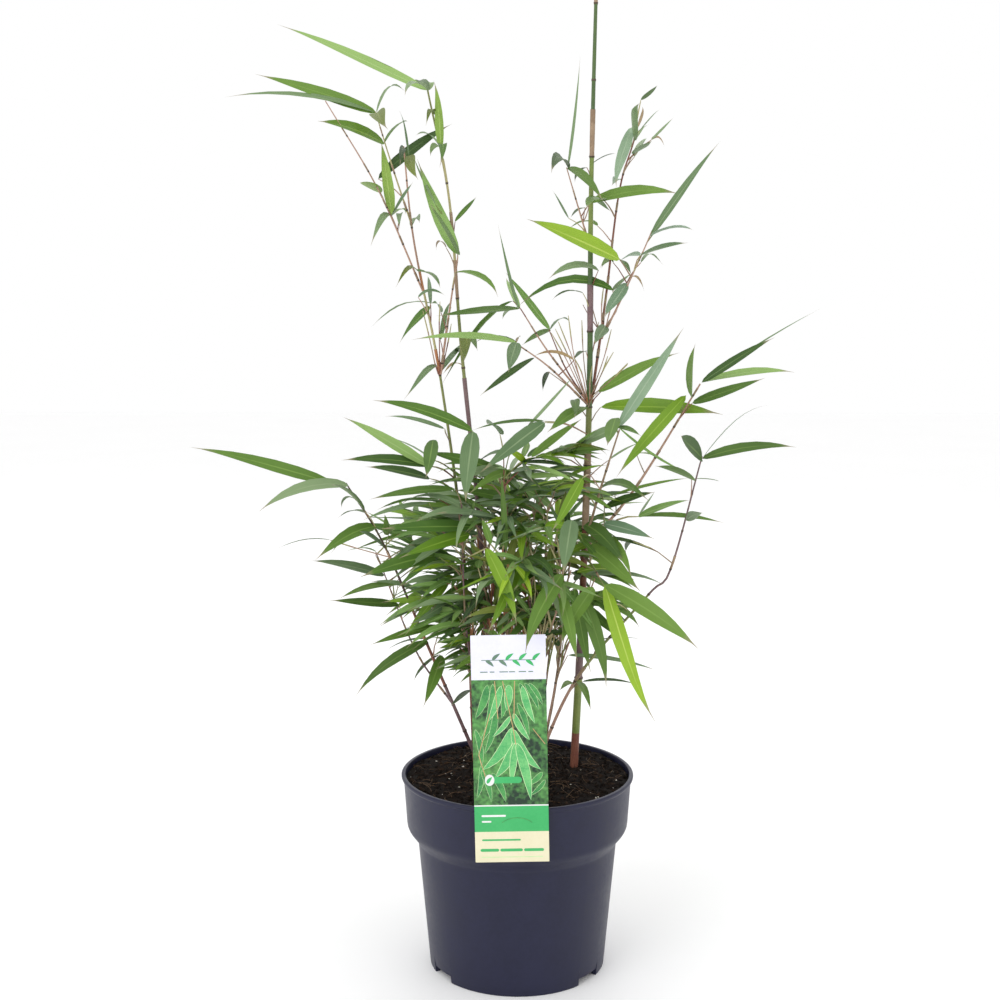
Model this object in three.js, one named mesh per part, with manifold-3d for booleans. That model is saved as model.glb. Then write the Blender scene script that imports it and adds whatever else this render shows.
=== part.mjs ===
// A clump of slender bamboo in a round nursery pot, with a plant label hooked on the rim.
// Millimetres, +Z up. The origin is the middle of the pot's underside; the label is at the front, -Y.
import * as THREE from "three";
import { mergeVertices } from "three/addons/utils/BufferGeometryUtils.js";
import Module from "manifold-3d";

const wasm = await Module();
wasm.setup();

// ---------------------------------------------------------------- driving sizes
const clearance = 0.35; // air kept between neighbouring pieces
const leafClearance = 1; // air kept between neighbouring masses of leaves
const overlap = 0.1; // how far two parts of one solid run into each other

const pot = {
  height: 161,
  wall: 1.6,
  rimRadius: 95,
  lipHeight: 6,
  collarTop: 92.8,
  collarFoot: 90.5,
  collarDepth: 41,
  shoulder: 81.5,
  shoulderDepth: 57,
  footRadius: 72,
  footWidth: 4,
  channelHeight: 6,
  channelInner: 40,
  padRadius: 30,
  notchAngles: [-57, 53, 123, -127],
  notchWidth: 25,
  facets: 28,
};

const soil = { top: 158.5, edgeDrop: 1.5, crownRadius: 80, floor: 8, facets: pot.facets };

const label = {
  width: 56,
  height: 176,
  foot: 121,
  thickness: 0.8,
  corner: 2,
  tilt: 1.2,
  centreX: -3.5,
  backY: -96.6,
  tongueWidth: 22,
  tongueDepth: 9,
  tongueInset: 3.4,
};

// Where a cane comes out of the soil, then points that it passes, then its tip.
const ground = soil.top + clearance;
const rootDepth = 5.5; // each cane is drawn from just under the ground and cut flat there
const canes = {
  cane_tall: {
    course: [[47, 20, ground - rootDepth], [53, 14, 304], [57, 8, 470], [57, 3, 640], [62, 0, 905]],
    foot: 3.3,
    tip: 0.9,
  },
  cane_left: {
    course: [[-22, 30, ground - rootDepth], [-29, 24, 332], [-45, 12, 504], [-54, 4, 622], [-70, 0, 704]],
    foot: 2.6,
    tip: 0.7,
  },
  cane_left_thin: {
    course: [[-36, 36, ground - rootDepth], [-44, 24, 332], [-62, 12, 482], [-82, 5, 590], [-89, 0, 662]],
    foot: 1.8,
    tip: 0.6,
  },
  cane_left_leaning: {
    course: [[-31, 33, ground - rootDepth], [-75, 20, 263], [-108, 4, 348], [-137, -4, 399]],
    foot: 1.8,
    tip: 0.6,
  },
  cane_right_leaning: {
    course: [[12, 10, ground - rootDepth], [47, 2, 236], [105, -8, 310], [122, -10, 331], [145, -14, 422]],
    foot: 1.6,
    tip: 0.6,
  },
};

// Short canes of the clump stand on a spiral and lean outwards until the leaves hide them.
const clump = { count: 5, centre: [2, 22], spread: 24, lean: 1.9, height: 150, foot: 2, tip: 1.4 };

// Side branches, each from just beside its cane to the leaves it carries.
const boughs = {
  bough_right_middle: { course: [[58, 6, 346], [94, -4, 396], [142, -18, 479]], foot: 1.3 },
  bough_right_short: { course: [[58, 5, 352], [66, -10, 397], [79, -26, 444]], foot: 1.2 },
  bough_right_low: { course: [[55, 6, 340], [60, -18, 334], [67, -40, 323]], foot: 1.1 },
  bough_fan_low: { course: [[53, 6, 462], [25, -6, 491], [-1, -19, 510]], foot: 1.0 },
  bough_fan_high: { course: [[53, 9, 465], [24, 0, 503], [2, -6, 537]], foot: 1.0 },
  bough_fan_back: { course: [[55, 12, 465], [39, 20, 488], [25, 30, 520]], foot: 0.9 },
  bough_fan_right: { course: [[60, 9, 462], [70, 22, 544], [80, 24, 628], [91, 18, 668]], foot: 1.4 },
  bough_wing: { course: [[73, 19, 514], [82, 8, 540], [98, 0, 582], [104, -4, 597]], foot: 1.0 },
  bough_tall_upper: { course: [[55, 7, 586], [49, 10, 610], [38, 16, 647]], foot: 1.0 },
  bough_left_inner: { course: [[-59, 9, 486], [-54, 2, 536], [-47, -6, 577]], foot: 1.1 },
  bough_left_outer: { course: [[-80, 4, 553], [-108, -11, 628], [-146, -26, 693]], foot: 0.9 },
  bough_left_top: { course: [[-86, 4, 606], [-98, 10, 645], [-112, 14, 690]], foot: 0.9 },
  bough_left_low: { course: [[-57, 30, 212], [-86, 40, 253], [-119, 50, 334]], foot: 1.0 },
};

// Masses of leaves. heart: where the leaves spring from; core: half sizes of the full middle;
// leaders: how far the leading leaves reach from the heart; extra: further short leaves all round.
const masses = {
  leaves_centre: {
    heart: [5, 5, 388], core: [54, 42, 46],
    leaders: [[10, -85, 60], [-20, 80, 70]], extra: 2, short: 78,
  },
  leaves_left_middle: {
    heart: [-72, -4, 402], core: [40, 36, 34],
    leaders: [[-70, -5, 54], [-72, 15, 18], [-60, 55, 8], [-25, -80, 20]], extra: 1, short: 66,
  },
  leaves_left_low: {
    heart: [-66, 0, 322], core: [42, 36, 34],
    leaders: [[-55, 40, -30], [-30, -75, -12], [-68, -30, 18]], extra: 1, short: 62,
  },
  leaves_right_middle: {
    heart: [78, 2, 396], core: [30, 34, 36],
    leaders: [[40, 60, 10], [30, -70, 14]], extra: 1, short: 62,
  },
  leaves_right_low: {
    heart: [62, -6, 304], core: [27, 28, 28],
    leaders: [[48, 36, -12], [20, -62, -38]], extra: 1, short: 56,
  },
  leaves_front: {
    heart: [0, -66, 345], core: [44, 26, 34],
    leaders: [[14, -46, -64], [-38, -58, -20], [42, -55, -18], [0, -84, 22]], extra: 1, short: 58,
  },
  leaves_back: {
    heart: [10, 74, 352], core: [46, 28, 40],
    leaders: [[10, 118, 14], [-34, 92, 50], [48, 84, 38]], extra: 2, short: 66,
  },
  leaves_back_left: {
    heart: [-66, 74, 330], core: [32, 26, 32],
    leaders: [[-84, 52, 10], [-40, 88, -22]], extra: 1, short: 58,
  },
  leaves_back_right: {
    heart: [74, 66, 340], core: [28, 26, 32],
    leaders: [[80, 52, 16], [44, 84, -20]], extra: 1, short: 58,
  },
  spray_tip_tall: {
    heart: [61, 0, 862], core: [6, 6, 16],
    leaders: [[12, 14, 72], [-48, -30, 50], [44, 46, 44]], extra: 1, short: 40,
  },
  spray_tall_high: {
    heart: [38, 16, 648], core: [8, 8, 8],
    leaders: [[10, 5, 91], [30, -42, -22], [-26, 50, 10]], extra: 1, short: 34,
  },
  spray_left_tip: {
    heart: [-70, -1, 703], core: [8, 8, 9],
    leaders: [[-116, 4, 58], [34, 52, 22], [-12, -62, 14]], extra: 1, short: 32,
  },
  spray_left_upper: {
    heart: [-59, 2, 650], core: [8, 8, 11],
    leaders: [[-3, -14, 64], [-28, 66, 6], [24, -62, 4]], extra: 1, short: 34,
  },
  spray_outer_tip: {
    heart: [-111, 12, 680], core: [9, 9, 16],
    leaders: [[-96, 0, 40], [-119, -6, 24], [-52, -42, 26], [36, 66, 10]], extra: 1, short: 34,
  },
  spray_shoot: {
    heart: [-140, -24, 684], core: [5, 5, 8],
    leaders: [[-8, -14, 22], [-14, 22, 10]], extra: 0, short: 20,
  },
  spray_left_fork: {
    heart: [-99, 2, 611], core: [8, 8, 8],
    leaders: [[-6, 16, 64], [18, -42, 30], [-16, -44, -26]], extra: 1, short: 34,
  },
  spray_left_pair: {
    heart: [-48, -5, 574], core: [9, 9, 10],
    leaders: [[-28, -56, 44], [-33, 40, 76], [18, 30, 42], [40, -46, -24]], extra: 1, short: 34,
  },
  spray_left_node: {
    heart: [-74, 16, 552], core: [9, 12, 16],
    leaders: [[-28, 22, -44], [-48, -28, -16], [34, -54, -16]], extra: 1, short: 40,
  },
  spray_fan_high: {
    heart: [0, -10, 530], core: [9, 11, 14],
    leaders: [[-66, -46, -4], [-60, 56, -46], [-17, -6, 74], [-84, -36, -14]], extra: 1, short: 36,
  },
  spray_fan_back: {
    heart: [25, 31, 521], core: [8, 8, 8],
    leaders: [[-36, 24, 46], [-22, 60, -12], [20, 66, 20]], extra: 1, short: 34,
  },
  spray_arch: {
    heart: [79, -4, 566], core: [8, 8, 12],
    leaders: [[-76, 40, -10], [-76, -52, 48], [24, 56, 10]], extra: 1, short: 34,
  },
  spray_right_inner: {
    heart: [70, 20, 508], core: [9, 9, 10],
    leaders: [[6, -26, 46], [22, 62, 26], [34, -48, -10]], extra: 1, short: 40,
  },
  spray_right_tip: {
    heart: [91, 18, 669], core: [8, 8, 9],
    leaders: [[20, 12, 46], [-20, -36, -36], [36, 58, 4]], extra: 1, short: 34,
  },
  spray_right_upper: {
    heart: [80, 24, 626], core: [7, 7, 8],
    leaders: [[52, -46, 6], [-24, 32, 14], [30, 60, 12]], extra: 1, short: 30,
  },
  spray_right_wing: {
    heart: [102, -2, 590], core: [8, 8, 11],
    leaders: [[52, -8, 76], [42, 46, 8], [34, -62, -2]], extra: 1, short: 34,
  },
  spray_fan_node: {
    heart: [58, 6, 455], core: [14, 14, 12],
    leaders: [[105, -12, 0], [68, 32, 48], [-34, -60, -24], [-10, 80, 20]], extra: 1, short: 44,
  },
  spray_right_small: {
    heart: [79, -27, 445], core: [8, 8, 9],
    leaders: [[44, -34, 78], [-44, 16, -20], [10, -58, -24]], extra: 1, short: 34,
  },
  spray_right_far: {
    heart: [139, -17, 473], core: [9, 9, 12],
    leaders: [[92, -3, 62], [76, 26, 16], [-60, -52, -66], [-6, -52, 34]], extra: 1, short: 38,
  },
  spray_right_outer: {
    heart: [145, -14, 419], core: [8, 8, 12],
    leaders: [[75, 4, 12], [46, 50, 48], [-26, -62, 20], [-38, 40, -12]], extra: 1, short: 36,
  },
  spray_right_side: {
    heart: [99, -10, 374], core: [9, 10, 9],
    leaders: [[66, 0, -6], [44, 56, 14], [22, -66, -10]], extra: 1, short: 36,
  },
  spray_right_drooping: {
    heart: [68, -44, 322], core: [10, 10, 10],
    leaders: [[30, -46, -94], [70, -48, -32], [-36, -40, -40], [12, -20, -76]], extra: 1, short: 34,
  },
  spray_far_left: {
    heart: [-137, -4, 398], core: [9, 9, 9],
    leaders: [[-121, -26, 38], [-68, -32, -18], [-26, 74, -6], [-30, -70, 2]], extra: 1, short: 36,
  },
  spray_left_out: {
    heart: [-118, 50, 334], core: [12, 12, 12],
    leaders: [[-80, -26, 8], [-54, -14, -34], [-30, 76, 4]], extra: 1, short: 42,
  },
  spray_left_drooping: {
    heart: [-82, 20, 258], core: [15, 15, 13],
    leaders: [[-53, -22, -33], [6, -52, -38], [-50, 40, -4], [10, 62, -24]], extra: 1, short: 40,
  },
};

const leafBlade = { width: 16, thickness: 4.5, sag: 0.1, point: 0.4 };
const smallCore = 20; // cores up to this half size are plain icosahedra
const steepRise = 0.8; // limbs that rise more than this share of their length count as upright
const limbTaper = 0.55; // tip over foot where a limb names no tip of its own
const shorterLeaf = { width: 0.85, rise: 0.35 }; // the further leaves of a mass, beside its leaders
const goldenAngle = Math.PI * (3 - Math.sqrt(5));

// ---------------------------------------------------------------- solids
// A closed mesh as a manifold solid: shared corners merged, collapsed triangles dropped.
function solidFrom(geometry) {
  const bare = geometry.clone();
  bare.deleteAttribute("normal");
  bare.deleteAttribute("uv");
  const merged = mergeVertices(bare, 1e-3);
  const corners = merged.index.array;
  const kept = [];
  for (let i = 0; i < corners.length; i += 3) {
    const [a, b, c] = [corners[i], corners[i + 1], corners[i + 2]];
    if (a !== b && b !== c && c !== a) kept.push(a, b, c);
  }
  const vertProperties = new Float32Array(merged.attributes.position.array);
  const triVerts = new Uint32Array(kept);
  return new wasm.Manifold(new wasm.Mesh({ numProp: 3, vertProperties, triVerts }));
}

// The largest connected piece of a solid, back as a three.js geometry.
function geometryFrom(solid) {
  const pieces = solid.decompose().sort((a, b) => b.volume() - a.volume());
  const mesh = pieces[0].getMesh();
  const geometry = new THREE.BufferGeometry();
  geometry.setAttribute("position", new THREE.BufferAttribute(mesh.vertProperties, 3));
  geometry.setIndex(new THREE.BufferAttribute(mesh.triVerts, 1));
  const flat = geometry.toNonIndexed();
  flat.computeVertexNormals();
  return flat;
}

// A spindle turned on a lathe, then bent along a smooth course.
// outline: [share of the length, half width]; flatness: thickness over width;
// grow: how far the whole skin is swollen, for cutting clearance.
function alongCourse(course, outline, sides, flatness, grow) {
  const curve = new THREE.CatmullRomCurve3(course.map((point) => new THREE.Vector3(...point)));
  const rings = outline.map(([share, radius]) => new THREE.Vector2(radius, share));
  const geometry = new THREE.LatheGeometry(
    [new THREE.Vector2(0, 0), ...rings, new THREE.Vector2(0, 1)],
    sides,
  );
  const position = geometry.attributes.position;
  const along = curve.getPoint(1).sub(curve.getPoint(0)).normalize();
  const steep = Math.abs(along.z) > steepRise;
  const reference = steep ? new THREE.Vector3(0, 1, 0) : new THREE.Vector3(0, 0, 1);
  for (let i = 0; i < position.count; i += 1) {
    const share = position.getY(i);
    const across = new THREE.Vector2(position.getX(i), position.getZ(i));
    const outwards = across.clone().normalize().multiplyScalar(grow);
    const tangent = curve.getTangentAt(share);
    const side = new THREE.Vector3().crossVectors(tangent, reference).normalize();
    const lift = new THREE.Vector3().crossVectors(side, tangent);
    const place = curve.getPointAt(share);
    place.addScaledVector(side, across.x + outwards.x);
    place.addScaledVector(lift, across.y * flatness + outwards.y);
    if (share === 0) place.addScaledVector(tangent, -grow);
    if (share === 1) place.addScaledVector(tangent, grow);
    position.setXYZ(i, place.x, place.y, place.z);
  }
  return solidFrom(geometry);
}

// A round limb that tapers evenly from foot to tip.
function limb({ course, foot, tip = foot * limbTaper }, sides, steps, grow = 0) {
  const outline = [];
  for (let i = 0; i <= steps; i += 1) {
    const share = i / steps;
    outline.push([share, THREE.MathUtils.lerp(foot, tip, share)]);
  }
  return alongCourse(course, outline, sides, 1, grow);
}

// A cane is a limb with a flat cut where it leaves the soil.
function caneSolid(cane, sides, steps, grow = 0) {
  const reach = 2 * pot.rimRadius;
  const underground = block([-reach, -reach, 0], [reach, reach, ground - grow]);
  return limb(cane, sides, steps, grow).subtract(underground);
}

// One flat pointed leaf from a heart, arched so that its far end sags.
function leafBladeSolid(heart, reach, widthScale, grow) {
  const rise = leafBlade.sag * Math.hypot(...reach);
  const middle = heart.map((value, axis) => value + reach[axis] / 2 + (axis === 2 ? rise : 0));
  const end = heart.map((value, axis) => value + reach[axis]);
  const half = (leafBlade.width / 2) * widthScale;
  const outline = [[0, half * 0.4], [0.45, half], [1, leafBlade.point]];
  const flatness = leafBlade.thickness / leafBlade.width;
  return alongCourse([heart, middle, end], outline, 3, flatness, grow);
}

// An uneven ball: an icosahedron whose corners are pushed in and out by slow waves.
function unevenCore(heart, core, seed, grow) {
  const detail = Math.max(...core) > smallCore ? 1 : 0;
  const geometry = new THREE.IcosahedronGeometry(1, detail);
  const position = geometry.attributes.position;
  const corner = new THREE.Vector3();
  for (let i = 0; i < position.count; i += 1) {
    corner.fromBufferAttribute(position, i);
    const waves = Math.sin(3.1 * corner.x + seed) * Math.cos(2.7 * corner.y - seed)
      + Math.sin(4.3 * corner.z + 2 * seed);
    const swell = 0.9 + 0.13 * waves;
    position.setXYZ(
      i,
      heart[0] + corner.x * (core[0] * swell + grow),
      heart[1] + corner.y * (core[1] * swell + grow),
      heart[2] + corner.z * (core[2] * swell + grow),
    );
  }
  return solidFrom(geometry);
}

// A mass of foliage: an uneven core with its leading leaves and shorter ones spiralling round it.
function foliage({ heart, core, leaders, extra, short }, seed, grow = 0) {
  let solid = unevenCore(heart, core, seed, grow);
  for (const reach of leaders) solid = solid.add(leafBladeSolid(heart, reach, 1, grow));
  for (let i = 0; i < extra; i += 1) {
    const turn = seed + i * goldenAngle;
    const rise = shorterLeaf.rise * Math.sin(2.3 * i + seed);
    const reach = [short * Math.cos(turn), short * Math.sin(turn), short * rise];
    solid = solid.add(leafBladeSolid(heart, reach, shorterLeaf.width, grow));
  }
  return solid;
}

// ---------------------------------------------------------------- pot, soil and label
function potOuterRadius(z) {
  const depth = pot.height - z;
  if (depth <= pot.collarDepth) {
    return THREE.MathUtils.lerp(pot.collarTop, pot.collarFoot, depth / pot.collarDepth);
  }
  if (depth <= pot.shoulderDepth) {
    const share = (depth - pot.collarDepth) / (pot.shoulderDepth - pot.collarDepth);
    return THREE.MathUtils.lerp(pot.collarFoot, pot.shoulder, share);
  }
  const share = (pot.height - pot.shoulderDepth - z) / (pot.height - pot.shoulderDepth);
  return THREE.MathUtils.lerp(pot.shoulder, pot.footRadius, share);
}

function potSolid() {
  const collarZ = pot.height - pot.collarDepth;
  const shoulderZ = pot.height - pot.shoulderDepth;
  const lipZ = pot.height - pot.lipHeight;
  const floorZ = pot.channelHeight + pot.wall;
  const inner = (z) => potOuterRadius(z) - pot.wall;
  const footInner = pot.footRadius - pot.footWidth;
  const profile = [
    [0, 0],
    [pot.padRadius, 0],
    [pot.channelInner, pot.channelHeight],
    [footInner, pot.channelHeight],
    [footInner, 0],
    [pot.footRadius, 0],
    [pot.shoulder, shoulderZ],
    [pot.collarFoot, collarZ],
    [potOuterRadius(lipZ), lipZ],
    [pot.rimRadius, lipZ + 2],
    [pot.rimRadius, pot.height],
    [inner(pot.height), pot.height],
    [inner(collarZ), collarZ],
    [inner(shoulderZ), shoulderZ],
    [inner(floorZ), floorZ],
    [0, floorZ],
  ];
  const outline = profile.map(([radius, z]) => new THREE.Vector2(radius, z));
  const turned = new THREE.LatheGeometry(outline, pot.facets).rotateX(Math.PI / 2);
  let solid = solidFrom(turned);
  for (const angle of pot.notchAngles) {
    const notch = new THREE.BoxGeometry(pot.notchWidth, 3 * pot.footWidth, 2 * pot.channelHeight);
    notch.translate(0, -pot.footRadius + pot.footWidth / 2, 0);
    notch.rotateZ(THREE.MathUtils.degToRad(angle));
    solid = solid.subtract(solidFrom(notch));
  }
  return solid;
}

function soilSolid() {
  const radius = (z) => potOuterRadius(z) - pot.wall - clearance;
  const collarZ = pot.height - pot.collarDepth;
  const shoulderZ = pot.height - pot.shoulderDepth;
  const edgeZ = soil.top - soil.edgeDrop;
  const profile = [
    [0, soil.floor],
    [radius(soil.floor), soil.floor],
    [radius(shoulderZ), shoulderZ],
    [radius(collarZ), collarZ],
    [radius(edgeZ), edgeZ],
    [soil.crownRadius, soil.top],
    [0, soil.top],
  ];
  const outline = profile.map(([r, z]) => new THREE.Vector2(r, z));
  const turned = new THREE.LatheGeometry(outline, soil.facets).rotateX(Math.PI / 2);
  return solidFrom(turned).subtract(tongueSolid(clearance));
}

// A box given by its lowest and highest corners.
function block(low, high) {
  const size = high.map((value, axis) => value - low[axis]);
  const box = new THREE.BoxGeometry(...size);
  box.translate(...low.map((value, axis) => value + size[axis] / 2));
  return solidFrom(box);
}

// The tongue runs back over the rim from the label and down inside the wall.
function tongueSolid(grow = 0) {
  const half = label.tongueWidth / 2 + grow;
  const left = label.centreX - half;
  const right = label.centreX + half;
  const thickness = label.thickness + grow;
  const overZ = pot.height + clearance;
  const insideY = -(potOuterRadius(pot.height) - pot.wall) + label.tongueInset - grow;
  const over = block(
    [left, label.backY - overlap, overZ],
    [right, insideY + thickness, overZ + thickness],
  );
  const down = block(
    [left, insideY, pot.height - label.tongueDepth - grow],
    [right, insideY + thickness, overZ + thickness],
  );
  return over.add(down);
}

function labelSolid() {
  const [w, h, r] = [label.width / 2, label.height, label.corner];
  const sheet = new THREE.Shape();
  sheet.moveTo(-w + r, 0);
  sheet.lineTo(w - r, 0);
  sheet.absarc(w - r, r, r, -Math.PI / 2, 0);
  sheet.lineTo(w, h - r);
  sheet.absarc(w - r, h - r, r, 0, Math.PI / 2);
  sheet.lineTo(-w + r, h);
  sheet.absarc(-w + r, h - r, r, Math.PI / 2, Math.PI);
  sheet.lineTo(-w, r);
  sheet.absarc(-w + r, r, r, Math.PI, 1.5 * Math.PI);
  const plate = new THREE.ExtrudeGeometry(sheet, {
    depth: label.thickness,
    bevelEnabled: false,
    curveSegments: 3,
  });
  plate.rotateX(Math.PI / 2);
  plate.rotateY(THREE.MathUtils.degToRad(-label.tilt));
  plate.translate(label.centreX, label.backY, label.foot);
  return solidFrom(plate).add(tongueSolid());
}

// ---------------------------------------------------------------- assembly
const materials = {
  pot: new THREE.MeshStandardMaterial({ color: 0x3a3e52, roughness: 0.5 }),
  soil: new THREE.MeshStandardMaterial({ color: 0x1d1510, roughness: 1 }),
  label: new THREE.MeshStandardMaterial({ color: 0x62b878, roughness: 0.35 }),
  cane: new THREE.MeshStandardMaterial({ color: 0x6f7a3c, roughness: 0.55 }),
  twig: new THREE.MeshStandardMaterial({ color: 0x8a6a4c, roughness: 0.7 }),
  leaf: new THREE.MeshStandardMaterial({ color: 0x4f7d33, roughness: 0.6 }),
};

const plant = new THREE.Group();

function place(name, solid, material) {
  const mesh = new THREE.Mesh(geometryFrom(solid), material.clone());
  mesh.name = name;
  plant.add(mesh);
}

const caneSides = 6;
const caneSteps = 9;
const boughSides = 5;
const boughSteps = 4;
const shortCaneSteps = 3;

place("pot", potSolid(), materials.pot);
place("soil", soilSolid(), materials.soil);
const labelPiece = labelSolid();
place("label", labelPiece, materials.label);

for (const [name, cane] of Object.entries(canes)) {
  place(name, caneSolid(cane, caneSides, caneSteps), materials.cane);
}

// Everything that foliage has to leave room for.
const labelMargin = 3;
const labelRoom = block(
  [label.centreX - label.width, label.backY - labelMargin, label.foot],
  [label.centreX + label.width, label.backY + labelMargin, label.foot + label.height + labelMargin],
);
let taken = labelRoom;
for (const cane of Object.values(canes)) {
  taken = taken.add(caneSolid(cane, caneSides, caneSteps, clearance));
}

let masked = null;
Object.entries(masses).forEach(([name, mass], seed) => {
  const open = masked ? foliage(mass, seed).subtract(masked) : foliage(mass, seed);
  place(name, open.subtract(taken), materials.leaf);
  const swollen = foliage(mass, seed, leafClearance);
  masked = masked ? masked.add(swollen) : swollen;
});

for (const [name, bough] of Object.entries(boughs)) {
  const whole = limb(bough, boughSides, boughSteps).subtract(taken).subtract(masked);
  place(name, whole, materials.twig);
  taken = taken.add(limb(bough, boughSides, boughSteps, clearance));
}

for (let i = 0; i < clump.count; i += 1) {
  const turn = i * goldenAngle;
  const away = clump.spread * Math.sqrt((i + 0.5) / clump.count);
  const footX = clump.centre[0] + away * Math.cos(turn);
  const footY = clump.centre[1] + away * Math.sin(turn);
  const topX = clump.centre[0] + away * clump.lean * Math.cos(turn);
  const topY = clump.centre[1] + away * clump.lean * Math.sin(turn);
  const course = [
    [footX, footY, ground - rootDepth],
    [(footX + topX) / 2, (footY + topY) / 2, ground + clump.height / 2],
    [topX, topY, ground + clump.height],
  ];
  const cane = { course, foot: clump.foot, tip: clump.tip };
  const whole = caneSolid(cane, boughSides, shortCaneSteps).subtract(taken).subtract(masked);
  place(`cane_clump_${i + 1}`, whole, materials.cane);
}

export default plant;
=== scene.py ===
"""A clump of slender bamboo in a round nursery pot, with a plant label hooked on its rim.

Sizes are typed in millimetres, +Z up, and are turned into metres when a mesh is made.
The front of the plant, with its label, looks along -Y.
"""
import math
import bpy
import numpy as np
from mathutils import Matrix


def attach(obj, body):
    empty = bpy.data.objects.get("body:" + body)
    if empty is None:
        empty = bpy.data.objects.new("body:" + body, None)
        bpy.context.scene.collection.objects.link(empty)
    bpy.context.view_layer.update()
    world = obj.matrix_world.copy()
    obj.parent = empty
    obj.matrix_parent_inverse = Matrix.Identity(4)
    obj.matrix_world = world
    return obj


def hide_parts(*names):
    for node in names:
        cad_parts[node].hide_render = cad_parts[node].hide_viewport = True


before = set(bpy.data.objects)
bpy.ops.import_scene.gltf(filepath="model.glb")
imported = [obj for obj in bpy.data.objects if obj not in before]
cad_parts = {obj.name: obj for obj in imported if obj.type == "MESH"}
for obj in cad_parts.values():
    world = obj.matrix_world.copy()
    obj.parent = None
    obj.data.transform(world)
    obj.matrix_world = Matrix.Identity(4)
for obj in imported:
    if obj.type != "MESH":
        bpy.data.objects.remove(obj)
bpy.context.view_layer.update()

MM = 0.001
UP = np.array([0.0, 0.0, 1.0])
GOLDEN = math.pi * (3 - math.sqrt(5))
random = np.random.default_rng(20)

# ------------------------------------------------------------------ stage
scene = bpy.context.scene
scene.view_settings.view_transform = "Standard"


def camera():
    """A 53 mm lens, 1.17 m from the plant at the height of its crown, looking down by 7.7
    degrees and turned 0.7 degrees about the upright."""
    data = bpy.data.cameras.new("camera")
    data.lens = 53.2
    data.sensor_width = 36
    made = bpy.data.objects.new("camera", data)
    made.location = (0, -1.1723, 0.5437)
    made.rotation_euler = (math.pi / 2 - 0.1345, 0, 0.0121)
    scene.collection.objects.link(made)
    scene.camera = made


def soft_light(name, place, power):
    """A square soft box at a place, in metres, turned to the middle of the plant."""
    data = bpy.data.lights.new(name, "AREA")
    data.size, data.energy = 1.6, power
    made = bpy.data.objects.new(name, data)
    made.location = place
    away = np.array(place) - (0, 0, 0.4)
    flat = math.hypot(away[0], away[1])
    made.rotation_euler = (math.atan2(flat, away[2]), 0, math.atan2(away[0], -away[1]))
    scene.collection.objects.link(made)


# ------------------------------------------------------------------ materials
def paint(red, green, blue):
    """A colour of 0 to 255 parts as the linear colour that a shader takes."""
    parts = np.array([red, green, blue]) / 255
    linear = np.where(parts <= 0.04045, parts / 12.92, ((parts + 0.055) / 1.055) ** 2.4)
    return (*linear.tolist(), 1.0)


def shade_node(tree, kind, inputs=(), **settings):
    """One shader node; an input is a plain value or another node's output."""
    made = tree.nodes.new("ShaderNode" + kind)
    for key, value in settings.items():
        setattr(made, key, value)
    for key, value in dict(inputs).items():
        if isinstance(value, bpy.types.NodeSocket):
            tree.links.new(value, made.inputs[key])
        else:
            made.inputs[key].default_value = value
    return made


def mixed(tree, share, first, second):
    """first and second, mixed by share."""
    return shade_node(tree, "Mix", {0: share, 6: first, 7: second}, data_type="RGBA").outputs[2]


def sums(tree, operation, *values):
    """One step of arithmetic."""
    inputs = dict(enumerate(values))
    return shade_node(tree, "Math", inputs, operation=operation).outputs[0]


def ranged(tree, value, low, high, start=0.0, end=1.0):
    """value from low to high carried to start to end, and held there."""
    inputs = {"Value": value, "From Min": low, "From Max": high, "To Min": start, "To Max": end}
    return shade_node(tree, "MapRange", inputs).outputs["Result"]


def clouds(tree, place, scale, detail):
    """Uneven noise of about 0 to 1."""
    inputs = {"Vector": place, "Scale": scale, "Detail": detail}
    return shade_node(tree, "TexNoise", inputs).outputs[0]


def new_group(name, inputs, outputs):
    """An empty node group with its named inputs and outputs."""
    tree = bpy.data.node_groups.new(name, "ShaderNodeTree")
    kinds = {"colour": "NodeSocketColor", "value": "NodeSocketFloat"}
    for label, kind in inputs:
        tree.interface.new_socket(name=label, in_out="INPUT", socket_type=kinds[kind])
    for label, kind in outputs:
        tree.interface.new_socket(name=label, in_out="OUTPUT", socket_type=kinds[kind])
    ends = tree.nodes.new("NodeGroupInput").outputs, tree.nodes.new("NodeGroupOutput").inputs
    return tree, *ends


def mottle_group():
    """Two colours mixed by uneven spots of one size over spots eight times finer."""
    tree, given, result = new_group(
        "mottle",
        [("Colour", "colour"), ("Spots", "colour"), ("Scale", "value"), ("Share", "value")],
        [("Colour", "colour"), ("Height", "value")],
    )
    place = shade_node(tree, "TexCoord").outputs["Object"]
    broad = clouds(tree, place, given["Scale"], 3.0)
    fine = clouds(tree, place, sums(tree, "MULTIPLY", given["Scale"], 8.0), 2.0)
    coarse = sums(tree, "MULTIPLY", broad, 0.65)
    both = sums(tree, "ADD", coarse, sums(tree, "MULTIPLY", fine, 0.35))
    share = sums(tree, "MULTIPLY", ranged(tree, both, 0.38, 0.62), given["Share"])
    tree.links.new(mixed(tree, share, given["Colour"], given["Spots"]), result["Colour"])
    tree.links.new(both, result["Height"])
    return tree


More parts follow.
